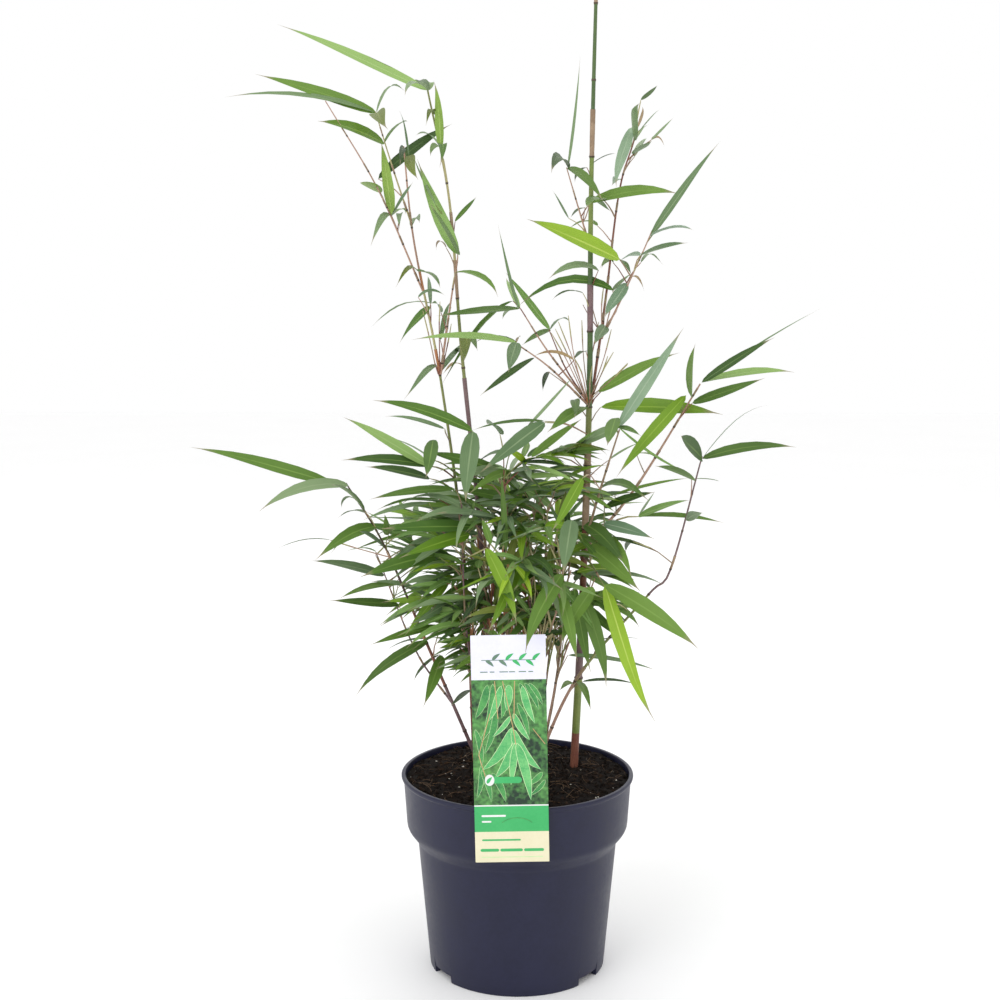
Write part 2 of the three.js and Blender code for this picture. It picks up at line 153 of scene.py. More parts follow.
def blade_group():
    """A leaf's colours: a pale midrib, fine veins along it, each leaf a little lighter or
    darker, and a dry tip. It reads the blade's own map: x across, y from foot to tip."""
    tree, given, result = new_group(
        "blade",
        [("Colour", "colour"), ("Light", "colour"), ("Rib", "colour"), ("Tip", "colour")],
        [("Colour", "colour"), ("Height", "value")],
    )
    spot = shade_node(tree, "UVMap", uv_map="blade").outputs[0]
    parts = shade_node(tree, "SeparateXYZ", {0: spot})
    across, along = parts.outputs["X"], parts.outputs["Y"]
    own = shade_node(tree, "Attribute", attribute_name="shade").outputs["Fac"]
    place = shade_node(tree, "TexCoord").outputs["Object"]
    cloud = clouds(tree, place, 55.0, 2.0)
    veins = sums(tree, "SINE", sums(tree, "MULTIPLY", across, 70.0))
    veins = sums(tree, "MULTIPLY_ADD", veins, 0.5, 0.5)
    light = sums(tree, "ADD", own, sums(tree, "MULTIPLY_ADD", cloud, 0.5, -0.25))
    light = sums(tree, "ADD", light, sums(tree, "MULTIPLY_ADD", veins, 0.16, -0.08))
    body = mixed(tree, ranged(tree, light, 0.0, 1.0), given["Colour"], given["Light"])
    from_rib = sums(tree, "ABSOLUTE", sums(tree, "SUBTRACT", across, 0.5))
    rib = ranged(tree, from_rib, 0.02, 0.06, 1.0, 0.0)
    rib = sums(tree, "MULTIPLY", rib, ranged(tree, along, 0.4, 0.95, 0.75, 0.0))
    ribbed = mixed(tree, rib, body, given["Rib"])
    dry = ranged(tree, sums(tree, "ADD", along, sums(tree, "MULTIPLY", cloud, 0.1)), 0.88, 0.98)
    tree.links.new(mixed(tree, dry, ribbed, given["Tip"]), result["Colour"])
    tree.links.new(sums(tree, "ADD", veins, sums(tree, "MULTIPLY", rib, 2.0)), result["Height"])
    return tree


MOTTLE = mottle_group()
BLADE = blade_group()


def finish_with(name, group, inputs, roughness, bump, depth, specular):
    """A Principled material whose colour and relief come from a group. Its roughness is one
    number, or a pair that the relief moves between."""
    made = bpy.data.materials.new(name)
    made.use_nodes = True
    tree = made.node_tree
    shader = tree.nodes["Principled BSDF"]
    pattern = shade_node(tree, "Group", node_tree=group)
    for key, value in inputs.items():
        pattern.inputs[key].default_value = value
    tree.links.new(pattern.outputs["Colour"], shader.inputs["Base Color"])
    relief = shade_node(
        tree, "Bump", {"Strength": bump, "Distance": depth, "Height": pattern.outputs["Height"]}
    )
    tree.links.new(relief.outputs["Normal"], shader.inputs["Normal"])
    if isinstance(roughness, tuple):
        uneven = ranged(tree, pattern.outputs["Height"], 0.3, 0.7, *roughness)
        tree.links.new(uneven, shader.inputs["Roughness"])
    else:
        shader.inputs["Roughness"].default_value = roughness
    shader.inputs["Specular IOR Level"].default_value = specular
    return made


def mottled(name, base, spots, scale, share, roughness, bump, depth=0.0004, specular=0.5):
    """A finish of two colours mixed by spots."""
    inputs = {"Colour": paint(*base), "Spots": paint(*spots), "Scale": scale, "Share": share}
    return finish_with(name, MOTTLE, inputs, roughness, bump, depth, specular)


def leaf_finish(name, dark, light, rib, roughness):
    """A leaf's finish: its two greens, its midrib and the brown of its dry tip."""
    inputs = {
        "Colour": paint(*dark), "Light": paint(*light), "Rib": paint(*rib),
        "Tip": paint(150, 140, 112),
    }
    return finish_with(name, BLADE, inputs, roughness, 0.25, 0.00012, 0.34)


# ------------------------------------------------------------------ meshes
def unit(vectors):
    """Vectors of length one, along the last axis."""
    length = np.linalg.norm(vectors, axis=-1, keepdims=True)
    return vectors / np.maximum(length, 1e-9)


class Joined:
    """Surfaces gathered into one mesh, each face with its finish."""

    def __init__(self):
        self.points, self.faces, self.finish, self.total = [], [], [], 0

    def add(self, points, faces, finish):
        """finish is one number for all the faces, or one for each."""
        points = np.asarray(points, float)
        for face in faces:
            self.faces.append([corner + self.total for corner in face])
        own = [finish] * len(faces) if isinstance(finish, int) else list(finish)
        self.finish += own
        self.points.append(points)
        self.total += len(points)

    def piece(self, name, materials, crease):
        """The object, in metres, with its faces turned outwards, smooth except where they
        meet at more than crease degrees."""
        points = np.concatenate(self.points) * MM
        mesh = bpy.data.meshes.new(name)
        mesh.from_pydata(points.tolist(), [], self.faces)
        for material in materials:
            mesh.materials.append(material)
        mesh.polygons.foreach_set("material_index", np.array(self.finish, np.int32))
        mesh.polygons.foreach_set("use_smooth", np.ones(len(self.faces), bool))
        mesh.update()
        if enclosed(mesh) < 0:
            mesh.flip_normals()
        mesh.set_sharp_from_angle(angle=math.radians(crease))
        made = bpy.data.objects.new(name, mesh)
        scene.collection.objects.link(made)
        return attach(made, "root")


def enclosed(mesh):
    """The signed volume in a closed mesh: the sum over its triangles of a . (b x c) / 6."""
    mesh.calc_loop_triangles()
    corners = np.empty(len(mesh.loop_triangles) * 3, np.int32)
    mesh.loop_triangles.foreach_get("vertices", corners)
    points = np.empty(len(mesh.vertices) * 3)
    mesh.vertices.foreach_get("co", points)
    a, b, c = points.reshape(-1, 3)[corners].reshape(-1, 3, 3).transpose(1, 0, 2)
    return float(np.einsum("ij,ij->", a, np.cross(b, c))) / 6


def course_of(points):
    """A Catmull-Rom curve through points, as (distances along it, places): each cubic leaves
    a point along the line through that point's neighbours."""
    p = np.asarray(points, float)
    p = np.vstack([2 * p[0] - p[1], p, 2 * p[-1] - p[-2]])
    t = np.linspace(0, 1, 10, endpoint=False)[:, None]
    parts = [
        0.5 * (2 * b + (c - a) * t + (2 * a - 5 * b + 4 * c - d) * t**2
               + (3 * b - a - 3 * c + d) * t**3)
        for a, b, c, d in zip(p, p[1:], p[2:], p[3:])
    ]
    fine = np.vstack([*parts, p[-2][None]])
    run = np.r_[0, np.cumsum(np.linalg.norm(np.diff(fine, axis=0), axis=1))]
    return run, fine


def along(course, distances):
    """The places at given distances along a course."""
    run, fine = course
    return np.stack([np.interp(distances, run, fine[:, k]) for k in range(3)], axis=1)


def bands(rings, around):
    """Faces between each ring of points and the next."""
    k = np.arange(around)
    after = (k + 1) % around
    faces = []
    for low in range(0, (rings - 1) * around, around):
        high = low + around
        faces += np.stack([low + k, low + after, high + after, high + k], axis=1).tolist()
    return faces


def closed_bands(rings, around):
    """The same, closed at both ends on the two points that follow the rings."""
    k = np.arange(around)
    after = (k + 1) % around
    foot, last = np.full(around, rings * around), (rings - 1) * around
    ends = [[foot, after, k], [foot + 1, last + k, last + after]]
    return bands(rings, around) + [face for end in ends for face in np.stack(end, axis=1).tolist()]


def prism(count):
    """Faces between two outlines of count points, and the outlines themselves."""
    return [list(range(count))[::-1], list(range(count, 2 * count)), *bands(2, count)]


def tube(path, radii, sides):
    """A circle carried along a path. Ring i stands square to the path at path[i], its radius
    is radii[i], and both ends close on their middles."""
    path, radii = np.asarray(path, float), np.asarray(radii, float)
    tangent = unit(np.gradient(path, axis=0))
    mean = unit(path[-1] - path[0])
    reference = np.eye(3)[np.argmin(np.abs(mean))]
    side = unit(np.cross(tangent, reference))
    lift = np.cross(side, tangent)
    turn = np.arange(sides) * 2 * math.pi / sides
    ring = np.cos(turn)[None, :, None] * side[:, None] + np.sin(turn)[None, :, None] * lift[:, None]
    points = path[:, None] + radii[:, None, None] * ring
    points = np.vstack([points.reshape(-1, 3), path[:1], path[-1:]])
    return points, closed_bands(len(path), sides)


def softened(profile, cuts):
    """A profile whose corners are rounded: near a corner it is the quadratic curve that
    starts and ends at the cut's distance from it, in four points."""
    p = np.asarray(profile, float)
    out = [p[0]]
    for i in range(1, len(p) - 1):
        before, after = p[i - 1] - p[i], p[i + 1] - p[i]
        first = min(cuts[i], 0.45 * np.linalg.norm(before))
        last = min(cuts[i], 0.45 * np.linalg.norm(after))
        a, b = p[i] + unit(before) * first, p[i] + unit(after) * last
        if cuts[i] == 0:
            out.append(p[i])
            continue
        for t in np.linspace(0, 1, 4):
            out.append((1 - t) ** 2 * a + 2 * t * (1 - t) * p[i] + t**2 * b)
    return np.array([*out, p[-1]])


def revolved(profile, turns, change=None):
    """A profile of (radius, height) turned about the upright axis, from a pole to a pole.
    change may move the grid of points before its poles close."""
    inner = profile[1:-1]
    x = inner[:, :1] * np.sin(turns)[None]
    y = -inner[:, :1] * np.cos(turns)[None]
    z = np.repeat(inner[:, 1:], len(turns), axis=1)
    grid = np.stack([x, y, z], axis=2)
    if change:
        grid = change(grid)
    rows, around = grid.shape[:2]
    poles = [[0, 0, profile[0][1]], [0, 0, profile[-1][1]]]
    return np.vstack([grid.reshape(-1, 3), poles]), closed_bands(rows, around)


# ------------------------------------------------------------------ pot
POT_HEIGHT = 161
WALL_STEP = 12  # the longest stretch of wall between two rings
NOTCHES = (-57, 53, 123, -127)  # in the foot ring, degrees from the front
NOTCH_HALF = 10  # degrees
NOTCH_HEIGHT = 5.8


def pot_piece():
    """A rolled lip, a collar, a rounded shoulder and a tapered wall on a notched foot."""
    # From the middle of the underside out to the foot, up the wall, over the lip, and down
    # inside to the middle of the floor. cuts: how far the rounding of each corner reaches.
    profile = [
        (0, 0), (30, 0), (40, 6), (68, 6), (68, 0), (72, 0), (81.3, 103), (81.7, 105.5),
        (84.2, 109.4), (90.3, 117.2), (92.9, 156.6), (94.7, 158.2), (94.9, 160.2), (93.9, 161),
        (91.6, 161), (91.2, 158), (88.9, 120), (79.9, 104), (70.6, 7.6), (0, 7.6),
    ]
    cuts = [0, 1, 1, 0.6, 0.5, 0.8, 1.2, 1.2, 2.2, 3.4, 0.8, 0.8, 0.8, 0.6, 0.6, 2, 5, 4, 2, 0]
    rounded = softened(profile, cuts)
    wall = []
    for a, b in zip(rounded, rounded[1:]):
        steps = max(1, int(np.linalg.norm(b - a) / WALL_STEP))
        wall += [a + (b - a) * i / steps for i in range(steps)]
    wall.append(rounded[-1])
    inside = NOTCH_HALF - 0.15
    edges = [math.radians(n + side) for n in NOTCHES
             for side in (-NOTCH_HALF, -inside, inside, NOTCH_HALF)]
    edges = [edge % (2 * math.pi) for edge in edges]
    turns = np.unique(np.r_[np.linspace(0, 2 * math.pi, 120, endpoint=False), edges])
    degrees = np.degrees(turns)
    notched = np.zeros(len(turns), bool)
    for n in NOTCHES:
        away = (degrees - n + 180) % 360 - 180
        notched |= np.abs(away) < NOTCH_HALF - 0.1

    def cut_foot(grid):
        radius = np.hypot(grid[..., 0], grid[..., 1])
        low = notched[None] & (radius > 66) & (grid[..., 2] < NOTCH_HEIGHT)
        grid[..., 2] = np.where(low, NOTCH_HEIGHT, grid[..., 2])
        return grid

    made = Joined()
    made.add(*revolved(np.array(wall), turns, cut_foot), 0)
    navy = mottled("pot_plastic", (20, 22, 49), (27, 29, 57), 38, 0.8, (0.36, 0.5), 0.14, 0.0003,
                   specular=0.36)
    piece = made.piece("nursery_pot", [navy], 32)
    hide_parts("pot")


# ------------------------------------------------------------------ soil
CRUMBS, FIBRES = 1500, 520


def waves(x, y, scale, seed):
    """A bumpy height of about -1 to 1: a sum of twelve sines in seeded directions."""
    dice = np.random.default_rng(seed)
    total = np.zeros_like(x)
    for _ in range(12):
        turn, phase = dice.uniform(0, 2 * math.pi, 2)
        pitch = scale * dice.uniform(0.6, 1.7)
        total += np.sin((x * math.cos(turn) + y * math.sin(turn)) / pitch + phase)
    return total / 4


def soil_height(x, y):
    """The soil's top: 158.6 in the middle and 157 at the wall, with lumps of two sizes."""
    reach = np.hypot(x, y) / 90
    return 158.6 - 1.6 * reach**6 + 0.9 * waves(x, y, 9, 1) + 0.5 * waves(x, y, 2.6, 2)


def scattered(dice, radius):
    """A seeded place in a circle, spread evenly over it."""
    reach, turn = radius * math.sqrt(dice.random()), dice.uniform(0, 2 * math.pi)
    return reach * math.cos(turn), reach * math.sin(turn)


def soil_bed(dice, peat):
    """The peat that fills the pot, rough on top."""
    turns = np.linspace(0, 2 * math.pi, 150, endpoint=False)
    top = [(r, 155) for r in np.linspace(90.6, 1.2, 52)]
    profile = np.array([(0, 8), (70, 8), (79.4, 104), (88.4, 120), (90.6, 150), *top, (0, 157)])

    def crumble(grid):
        high = grid[..., 2] > 151
        x, y = grid[..., 0], grid[..., 1]
        rough = soil_height(x, y) + dice.normal(0, 0.28, x.shape)
        grid[..., 2] = np.where(high, rough, grid[..., 2])
        return grid

    bed = Joined()
    bed.add(*revolved(profile, turns, crumble), 0)
    piece = bed.piece("potting_soil", [peat], 60)
    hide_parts("soil")


def soil_crumbs(dice, materials):
    """Uneven eight-sided crumbs of peat and bark, and a few white grains."""
    lumps = Joined()
    corners = np.array(
        [[1, 0, 0], [0, 1, 0], [-1, 0, 0], [0, -1, 0], [0, 0, 1], [0, 0, -1]], float
    )
    sides = [(0, 1, 4), (1, 2, 4), (2, 3, 4), (3, 0, 4), (1, 0, 5), (2, 1, 5), (3, 2, 5), (0, 3, 5)]
    for _ in range(CRUMBS):
        x, y = scattered(dice, 88)
        kind = int(dice.choice(3, p=[0.66, 0.3, 0.04]))
        size = dice.uniform(0.7, 2.3) if kind < 2 else dice.uniform(0.5, 1.0)
        shape = corners * (1 + dice.uniform(-0.35, 0.35, (6, 3))) * size
        shape *= dice.uniform((0.6, 0.6, 0.4), (1.5, 1.2, 0.9))
        spin = dice.uniform(0, math.pi)
        c, s = math.cos(spin), math.sin(spin)
        shape = shape @ np.array([[c, s, 0], [-s, c, 0], [0, 0, 1]])
        height = soil_height(np.array([x]), np.array([y]))[0]
        lumps.add(shape + [x, y, height + 0.2 * size], sides, kind)
    piece = lumps.piece("soil_crumbs", materials, 25)


def soil_fibres(dice, materials):
    """Bent fibres that lie on the soil, some of them standing up at one end."""
    strands = Joined()
    for _ in range(FIBRES):
        x, y = scattered(dice, 86)
        length, heading = dice.uniform(6, 26), dice.uniform(0, 2 * math.pi)
        bend = dice.uniform(-1.6, 1.6)
        t = np.linspace(0, 1, 7)
        direction = heading + bend * t
        px = x + np.cumsum(np.cos(direction)) * length / 7
        py = y + np.cumsum(np.sin(direction)) * length / 7
        inside = 88.5 / np.maximum(np.hypot(px, py), 88.5)
        px, py = px * inside, py * inside
        standing = dice.random() < 0.12
        rise = dice.uniform(2, 6) * t if standing else dice.uniform(0.4, 1.8) * np.sin(t * math.pi)
        path = np.stack([px, py, soil_height(px, py) + 0.25 + rise], axis=1)
        strand = tube(path, np.full(7, dice.uniform(0.1, 0.24)), 3)
        strands.add(*strand, int(dice.random() < 0.6))
    piece = strands.piece("soil_fibres", materials, 60)


def soil_pieces():
    """The bed, its crumbs and its fibres, all from one seed."""
    dice = np.random.default_rng(5)
    black = mottled("peat", (13, 9, 7), (30, 21, 15), 260, 0.7, 0.95, 0.9, 0.0012, specular=0.15)
    brown = mottled("bark_crumb", (28, 19, 14), (56, 39, 27), 300, 0.8, 0.9, 0.6, 0.0006,
                    specular=0.2)
    straw = mottled("root_fibre", (62, 44, 30), (112, 86, 60), 500, 0.9, 0.8, 0.3, 0.0002)
    white = mottled("white_grain", (214, 208, 198), (168, 160, 148), 500, 0.5, 0.85, 0.3, 0.0003)
    soil_bed(dice, black)
    soil_crumbs(dice, [black, brown, white])
    soil_fibres(dice, [straw, brown])


# ------------------------------------------------------------------ label
LABEL_WIDTH, LABEL_HEIGHT, LABEL_FOOT = 56, 176, 121
LABEL_LEAN = math.radians(1.2)
LABEL_X, LABEL_BACK, LABEL_FRONT = -3.5, -96.6, -97.4
BANDS = [0, 24, 44, 45, 142, 176]  # cream, green, white line, leaf scene, header
TONGUE_HALF, TONGUE_FOOT, TONGUE_BACK = 11, 152, -86.2
CARD = 0.8  # the tongue's thickness


def on_label(x, z, y):
    """A point x across and z up the label, turned by the label's lean, at depth y."""
    c, s = math.cos(LABEL_LEAN), math.sin(LABEL_LEAN)
    x, z = np.asarray(x, float), np.asarray(z, float)
    y = np.broadcast_to(y, x.shape)
    return np.stack([LABEL_X + x * c - z * s, y, LABEL_FOOT + x * s + z * c], axis=-1)


def label_shape(made, outline, proud, finish):
    """A thin flat shape on the label's front: its outline, carried out by proud and a
    hair more for each shape before it, so that no two lie in one plane."""
    proud = proud + 0.0012 * len(made.points)
    x, z = np.array(outline, float).T
    depths = LABEL_FRONT + 0.02, LABEL_FRONT - proud
    made.add(np.vstack([on_label(x, z, y) for y in depths]), prism(len(x)), finish)


def flat_leaf(x0, z0, x1, z1, width, grow=0.0, bend=0.06):
    """A leaf's outline from foot to tip: its half width is that of s^0.6 (1-s), and its
    middle line bows to one side."""
    s = np.array([0, 0.07, 0.18, 0.34, 0.52, 0.7, 0.86, 1.0])
    foot, tip = np.array([x0, z0], float), np.array([x1, z1], float)
    line = tip - foot
    square = np.array([-line[1], line[0]]) / np.linalg.norm(line)
    half = width / 2 * s**0.6 * (1 - s) / 0.375 ** 0.6 / 0.625 + grow * (s < 0.99)
    bow = bend * np.linalg.norm(line) * 4 * s * (1 - s)
    middle = foot + line * s[:, None] + square * bow[:, None]
    left, right = middle + square * half[:, None], middle - square * half[:, None]
    return np.vstack([left[:-1], tip[None], right[:-1][::-1]])


def bar(x0, x1, z, height):
    """A small bar with rounded ends."""
    turn = np.linspace(-math.pi / 2, math.pi / 2, 5)
    right = np.stack([x1 + np.cos(turn) * height / 2, z + np.sin(turn) * height / 2], axis=1)
    left = np.stack([x0 - np.cos(turn) * height / 2, z - np.sin(turn) * height / 2], axis=1)
    return np.vstack([right, left])


def printed(name, base, spots, scale, share=0.6):
    """A smooth printed finish."""
    return mottled(name, base, spots, scale, share, 0.3, 0.02)


def label_plate(cream, green, back, picture, lavender):
    """The plate with rounded corners and its bands of colour, and the tongue that hooks over
    the rim."""
    plate = Joined()
    corner = 0.6
    turn = np.linspace(0, math.pi / 2, 5)
    ends = corner * (1 - np.cos(turn[::-1]))
    pulled = corner * (1 - np.sin(turn[::-1]))
    heights = np.r_[ends[::-1], BANDS[1:-1], LABEL_HEIGHT - ends]
    halves = LABEL_WIDTH / 2 - np.r_[pulled[::-1], np.zeros(len(BANDS) - 2), pulled]
    order = np.argsort(heights)
    heights, halves = heights[order], halves[order]
    rows = []
    for height, half in zip(heights, halves):
        x = np.array([-half, half, half, -half])
        y = np.array([LABEL_FRONT, LABEL_FRONT, LABEL_BACK, LABEL_BACK])
        rows.append(on_label(x, np.full(4, height), y))
    top = 4 * len(rows) - 4
    faces = bands(len(rows), 4) + [[3, 2, 1, 0], [top, top + 1, top + 2, top + 3]]
    finish = []
    for low, high in zip(heights, heights[1:]):
        band = int(np.searchsorted(BANDS, (low + high) / 2)) - 1
        finish += [band, 5, 5, 5]
    plate.add(np.vstack(rows), faces, finish + [5, 5])
    front, rim, outside = LABEL_BACK - 0.1, POT_HEIGHT + 0.35, TONGUE_BACK + CARD
    side = [
        (front, rim), (TONGUE_BACK, rim), (TONGUE_BACK, TONGUE_FOOT), (outside, TONGUE_FOOT),
        (outside, rim + CARD), (front, rim + CARD),
    ]
    left = np.array([(LABEL_X - TONGUE_HALF, y, z) for y, z in side])
    right = left + [2 * TONGUE_HALF, 0, 0]
    plate.add(np.vstack([left, right]), [face[::-1] for face in prism(6)], 5)
    piece = plate.piece("plant_label", [cream, green, back, picture, lavender, back], 25)
    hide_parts("label")


def label_print(leaf_green, leaf_far, edge, tan, ink, green, back):
    """Leaves that hang from a fork, each with a pale edge, over smaller ones, and a plain
    sprig and rows of small bars where lettering would be."""
    print_on = Joined()
    # Each leaf: its foot, its tip and its width; a near one also has its bend.
    far = [
        (-16, 138, -26, 112, 7), (-12, 139, -19, 104, 6), (-4, 139, -6, 112, 7),
        (-9, 126, -24, 92, 6), (-10, 120, -20, 84, 6), (8, 139, 14, 113, 6),
        (12, 139, 22, 118, 5), (15, 139, 25, 122, 4), (6, 124, 14, 96, 5),
        (-22, 76, -26, 50, 5), (-22, 72, -15, 47, 5), (-14, 70, -4, 47, 6),
        (24, 70, 12, 60, 5), (26, 64, 14, 52, 4), (-26, 104, -22, 74, 5),
    ]
    near = [
        (2, 105, -22, 72, 9, 0.1), (2, 104, 23, 72, 9, -0.1), (4, 93, -12, 66, 8, 0.06),
        (4, 93, 0, 60, 6, 0), (5, 93, 15, 48, 8, 0.03), (3, 116, 15, 95, 5, -0.05),
        (1, 114, -13, 98, 4, 0.05), (0, 138, -2, 118, 7, 0.02), (-6, 137, -16, 110, 6, 0.04),
        (10, 137, 19, 108, 6, -0.04),
    ]
    for x0, z0, x1, z1, width in far:
        label_shape(print_on, flat_leaf(x0, z0, x1, z1, 0.8 * width, 0.2), 0.02, 2)
        label_shape(print_on, flat_leaf(x0, z0, x1, z1, 0.8 * width), 0.02, 1)
    for x0, z0, x1, z1, width, bend in near:
        label_shape(print_on, flat_leaf(x0, z0, x1, z1, 0.85 * width, 0.35, bend), 0.02, 2)
        label_shape(print_on, flat_leaf(x0, z0, x1, z1, 0.85 * width, 0.0, bend), 0.02, 0)
    stems = [
        (-5, 141, 2, 106), (2, 106, 4, 92), (-11, 141, -9, 112), (4, 141, 3, 112),
        (-15, 116, -24, 84), (-24, 84, -18, 62), (17, 104, 26, 92),
    ]
    for x0, z0, x1, z1 in stems:
        label_shape(print_on, [(x0, z0), (x1, z1), (x1 + 0.6, z1), (x0 + 0.6, z0)], 0.045, 3)
    label_shape(print_on, bar(-20, 20, 157, 0.5), 0.03, 4)
    for i in range(8):
        x, lift = -17 + i * 5, 5 if i % 2 else -5
        label_shape(print_on, flat_leaf(x, 157, x + 6, 157 + lift, 2.6), 0.04, 4 if i < 3 else 5)
    for i, width in enumerate([5, 3, 6, 4, 5, 3]):
        x = -21 + i * 7.2
        label_shape(print_on, bar(x, x + width, 148, 0.7), 0.03, 4)
    for x, width, z, height, finish in [
        (-22, 17, 36.5, 1.5, 6), (-22, 6, 32, 1.3, 6), (-22, 28, 17.5, 1.3, 5),
        (-23, 12, 9.5, 2.2, 5), (-8, 15, 9.5, 2.2, 5), (10, 13, 9.5, 2.2, 5), (-23, 46, 4, 0.6, 2),
    ]:
        label_shape(print_on, bar(x, x + width, z, height), 0.03, finish)
    label_shape(print_on, bar(-14, 6, 64.5, 5), 0.08, 5)
    turn = np.linspace(0, 2 * math.pi, 20, endpoint=False)
    disc = np.stack([-16 + 3.6 * np.cos(turn), 64.5 + 4.4 * np.sin(turn)], axis=1)
    label_shape(print_on, disc, 0.1, 6)
    label_shape(print_on, flat_leaf(-18, 62, -14, 67, 2.6), 0.12, 5)
    arc = np.linspace(math.radians(35), math.radians(145), 13)
    over = np.stack([4 + 14 * np.cos(arc), 26 + 9 * np.sin(arc)], axis=1)
    label_shape(print_on, np.vstack([over, over[::-1] - [0, 0.5]]), 0.03, 1)
    piece = print_on.piece(
        "label_print", [leaf_green, leaf_far, edge, tan, ink, green, back], 20
    )


def label_pieces():
    """The label: its plate, and the shapes printed on its front."""
    lavender = mottled("label_header", (226, 226, 244), (236, 236, 250), 60, 0.5, 0.32, 0.03)
    cream = mottled("label_cream", (224, 218, 184), (232, 226, 196), 60, 0.5, 0.32, 0.03)
    green = mottled("label_green", (54, 172, 96), (70, 184, 108), 50, 0.5, 0.3, 0.03)
    back = mottled("label_back", (226, 226, 226), (240, 240, 240), 60, 0.5, 0.4, 0.03)
    picture = printed("label_picture", (12, 46, 26), (92, 160, 80), 44, 1.0)
    leaf_green = printed("printed_leaf", (74, 168, 96), (124, 202, 124), 120, 0.8)
    leaf_far = printed("printed_far_leaf", (44, 122, 64), (88, 168, 86), 120, 0.8)
    edge = printed("printed_edge", (206, 232, 178), (186, 222, 160), 200)
    ink = mottled("printed_ink", (92, 122, 104), (104, 136, 112), 200, 0.6, 0.35, 0.02)
    tan = printed("printed_stem", (204, 168, 120), (178, 140, 96), 200)
    label_plate(cream, green, back, picture, lavender)
    label_print(leaf_green, leaf_far, edge, tan, ink, green, back)


# ------------------------------------------------------------------ canes, boughs and twigs
CULM_PAINT = {
    "green": ((104, 124, 56), (128, 140, 70)),
    "olive": ((110, 120, 62), (136, 138, 84)),
    "dark_green": ((62, 88, 44), (82, 104, 52)),
    "red": ((112, 62, 50), (142, 92, 72)),
    "purple": ((104, 78, 82), (128, 104, 104)),
    "tan": ((130, 106, 82), (162, 138, 112)),
    "orange": ((158, 100, 62), (184, 130, 88)),
    "node": ((58, 48, 34), (86, 66, 46)),
    "pink": ((158, 122, 104), (186, 152, 130)),
    "straw": ((156, 148, 100), (180, 172, 126)),
}
CULM = list(CULM_PAINT)

# course: points it passes; foot and tip: half thickness; nodes: heights of its joints;
# sheaths: (from, to, finish) heights of the papery sheaths; zones: (up to, finish).
CANES = {
    "cane_tall": dict(
        course=[(47, 20, 153), (53, 14, 304), (57, 8, 470), (57, 3, 640), (62, 0, 905)],
        foot=3.4, tip=0.9, nodes=[235, 304, 360, 412, 459, 519, 583, 654, 712, 769, 822, 866],
        sheaths=[(360, 430, "tan"), (519, 556, "purple"), (654, 690, "tan"), (769, 792, "tan")],
        zones=[(190, "red"), (235, "green"), (304, "purple"), (360, "red"), (459, "olive"),
               (583, "dark_green"), (654, "green"), (769, "dark_green"), (950, "olive")],
    ),
    "cane_left": dict(
        course=[(-22, 30, 153), (-29, 24, 332), (-45, 12, 504), (-54, 4, 622), (-70, 0, 704)],
        foot=2.4, tip=0.7, nodes=[190, 248, 318, 380, 435, 490, 545, 592, 634, 668],
        sheaths=[(435, 482, "purple"), (545, 575, "tan"), (592, 612, "tan"), (634, 652, "straw")],
        zones=[(248, "red"), (435, "purple"), (545, "olive"), (634, "straw"), (720, "olive")],
    ),
    "cane_left_thin": dict(
        course=[(-36, 36, 153), (-44, 24, 332), (-62, 12, 482), (-82, 5, 590), (-89, 0, 662)],
        foot=1.8, tip=0.6, nodes=[205, 270, 335, 400, 484, 550, 600, 636],
        sheaths=[(484, 505, "orange"), (550, 566, "orange"), (600, 612, "tan")],
        zones=[(335, "red"), (484, "olive"), (550, "straw"), (680, "pink")],
    ),
    "cane_left_leaning": dict(
        course=[(-31, 33, 153), (-75, 20, 263), (-108, 4, 348), (-137, -4, 399)],
        foot=1.7, tip=0.6, nodes=[186, 226, 263, 300, 332, 360, 382],
        sheaths=[(263, 276, "orange"), (332, 342, "tan")],
        zones=[(226, "purple"), (300, "red"), (400, "node")],
    ),
    "cane_right_leaning": dict(
        course=[(12, 10, 153), (47, 2, 236), (105, -8, 310), (122, -10, 331), (145, -14, 422)],
        foot=1.5, tip=0.6, nodes=[196, 236, 274, 310, 331, 362, 392],
        sheaths=[(236, 248, "tan"), (331, 342, "tan")],
        zones=[(236, "pink"), (310, "olive"), (430, "purple")],
    ),
}
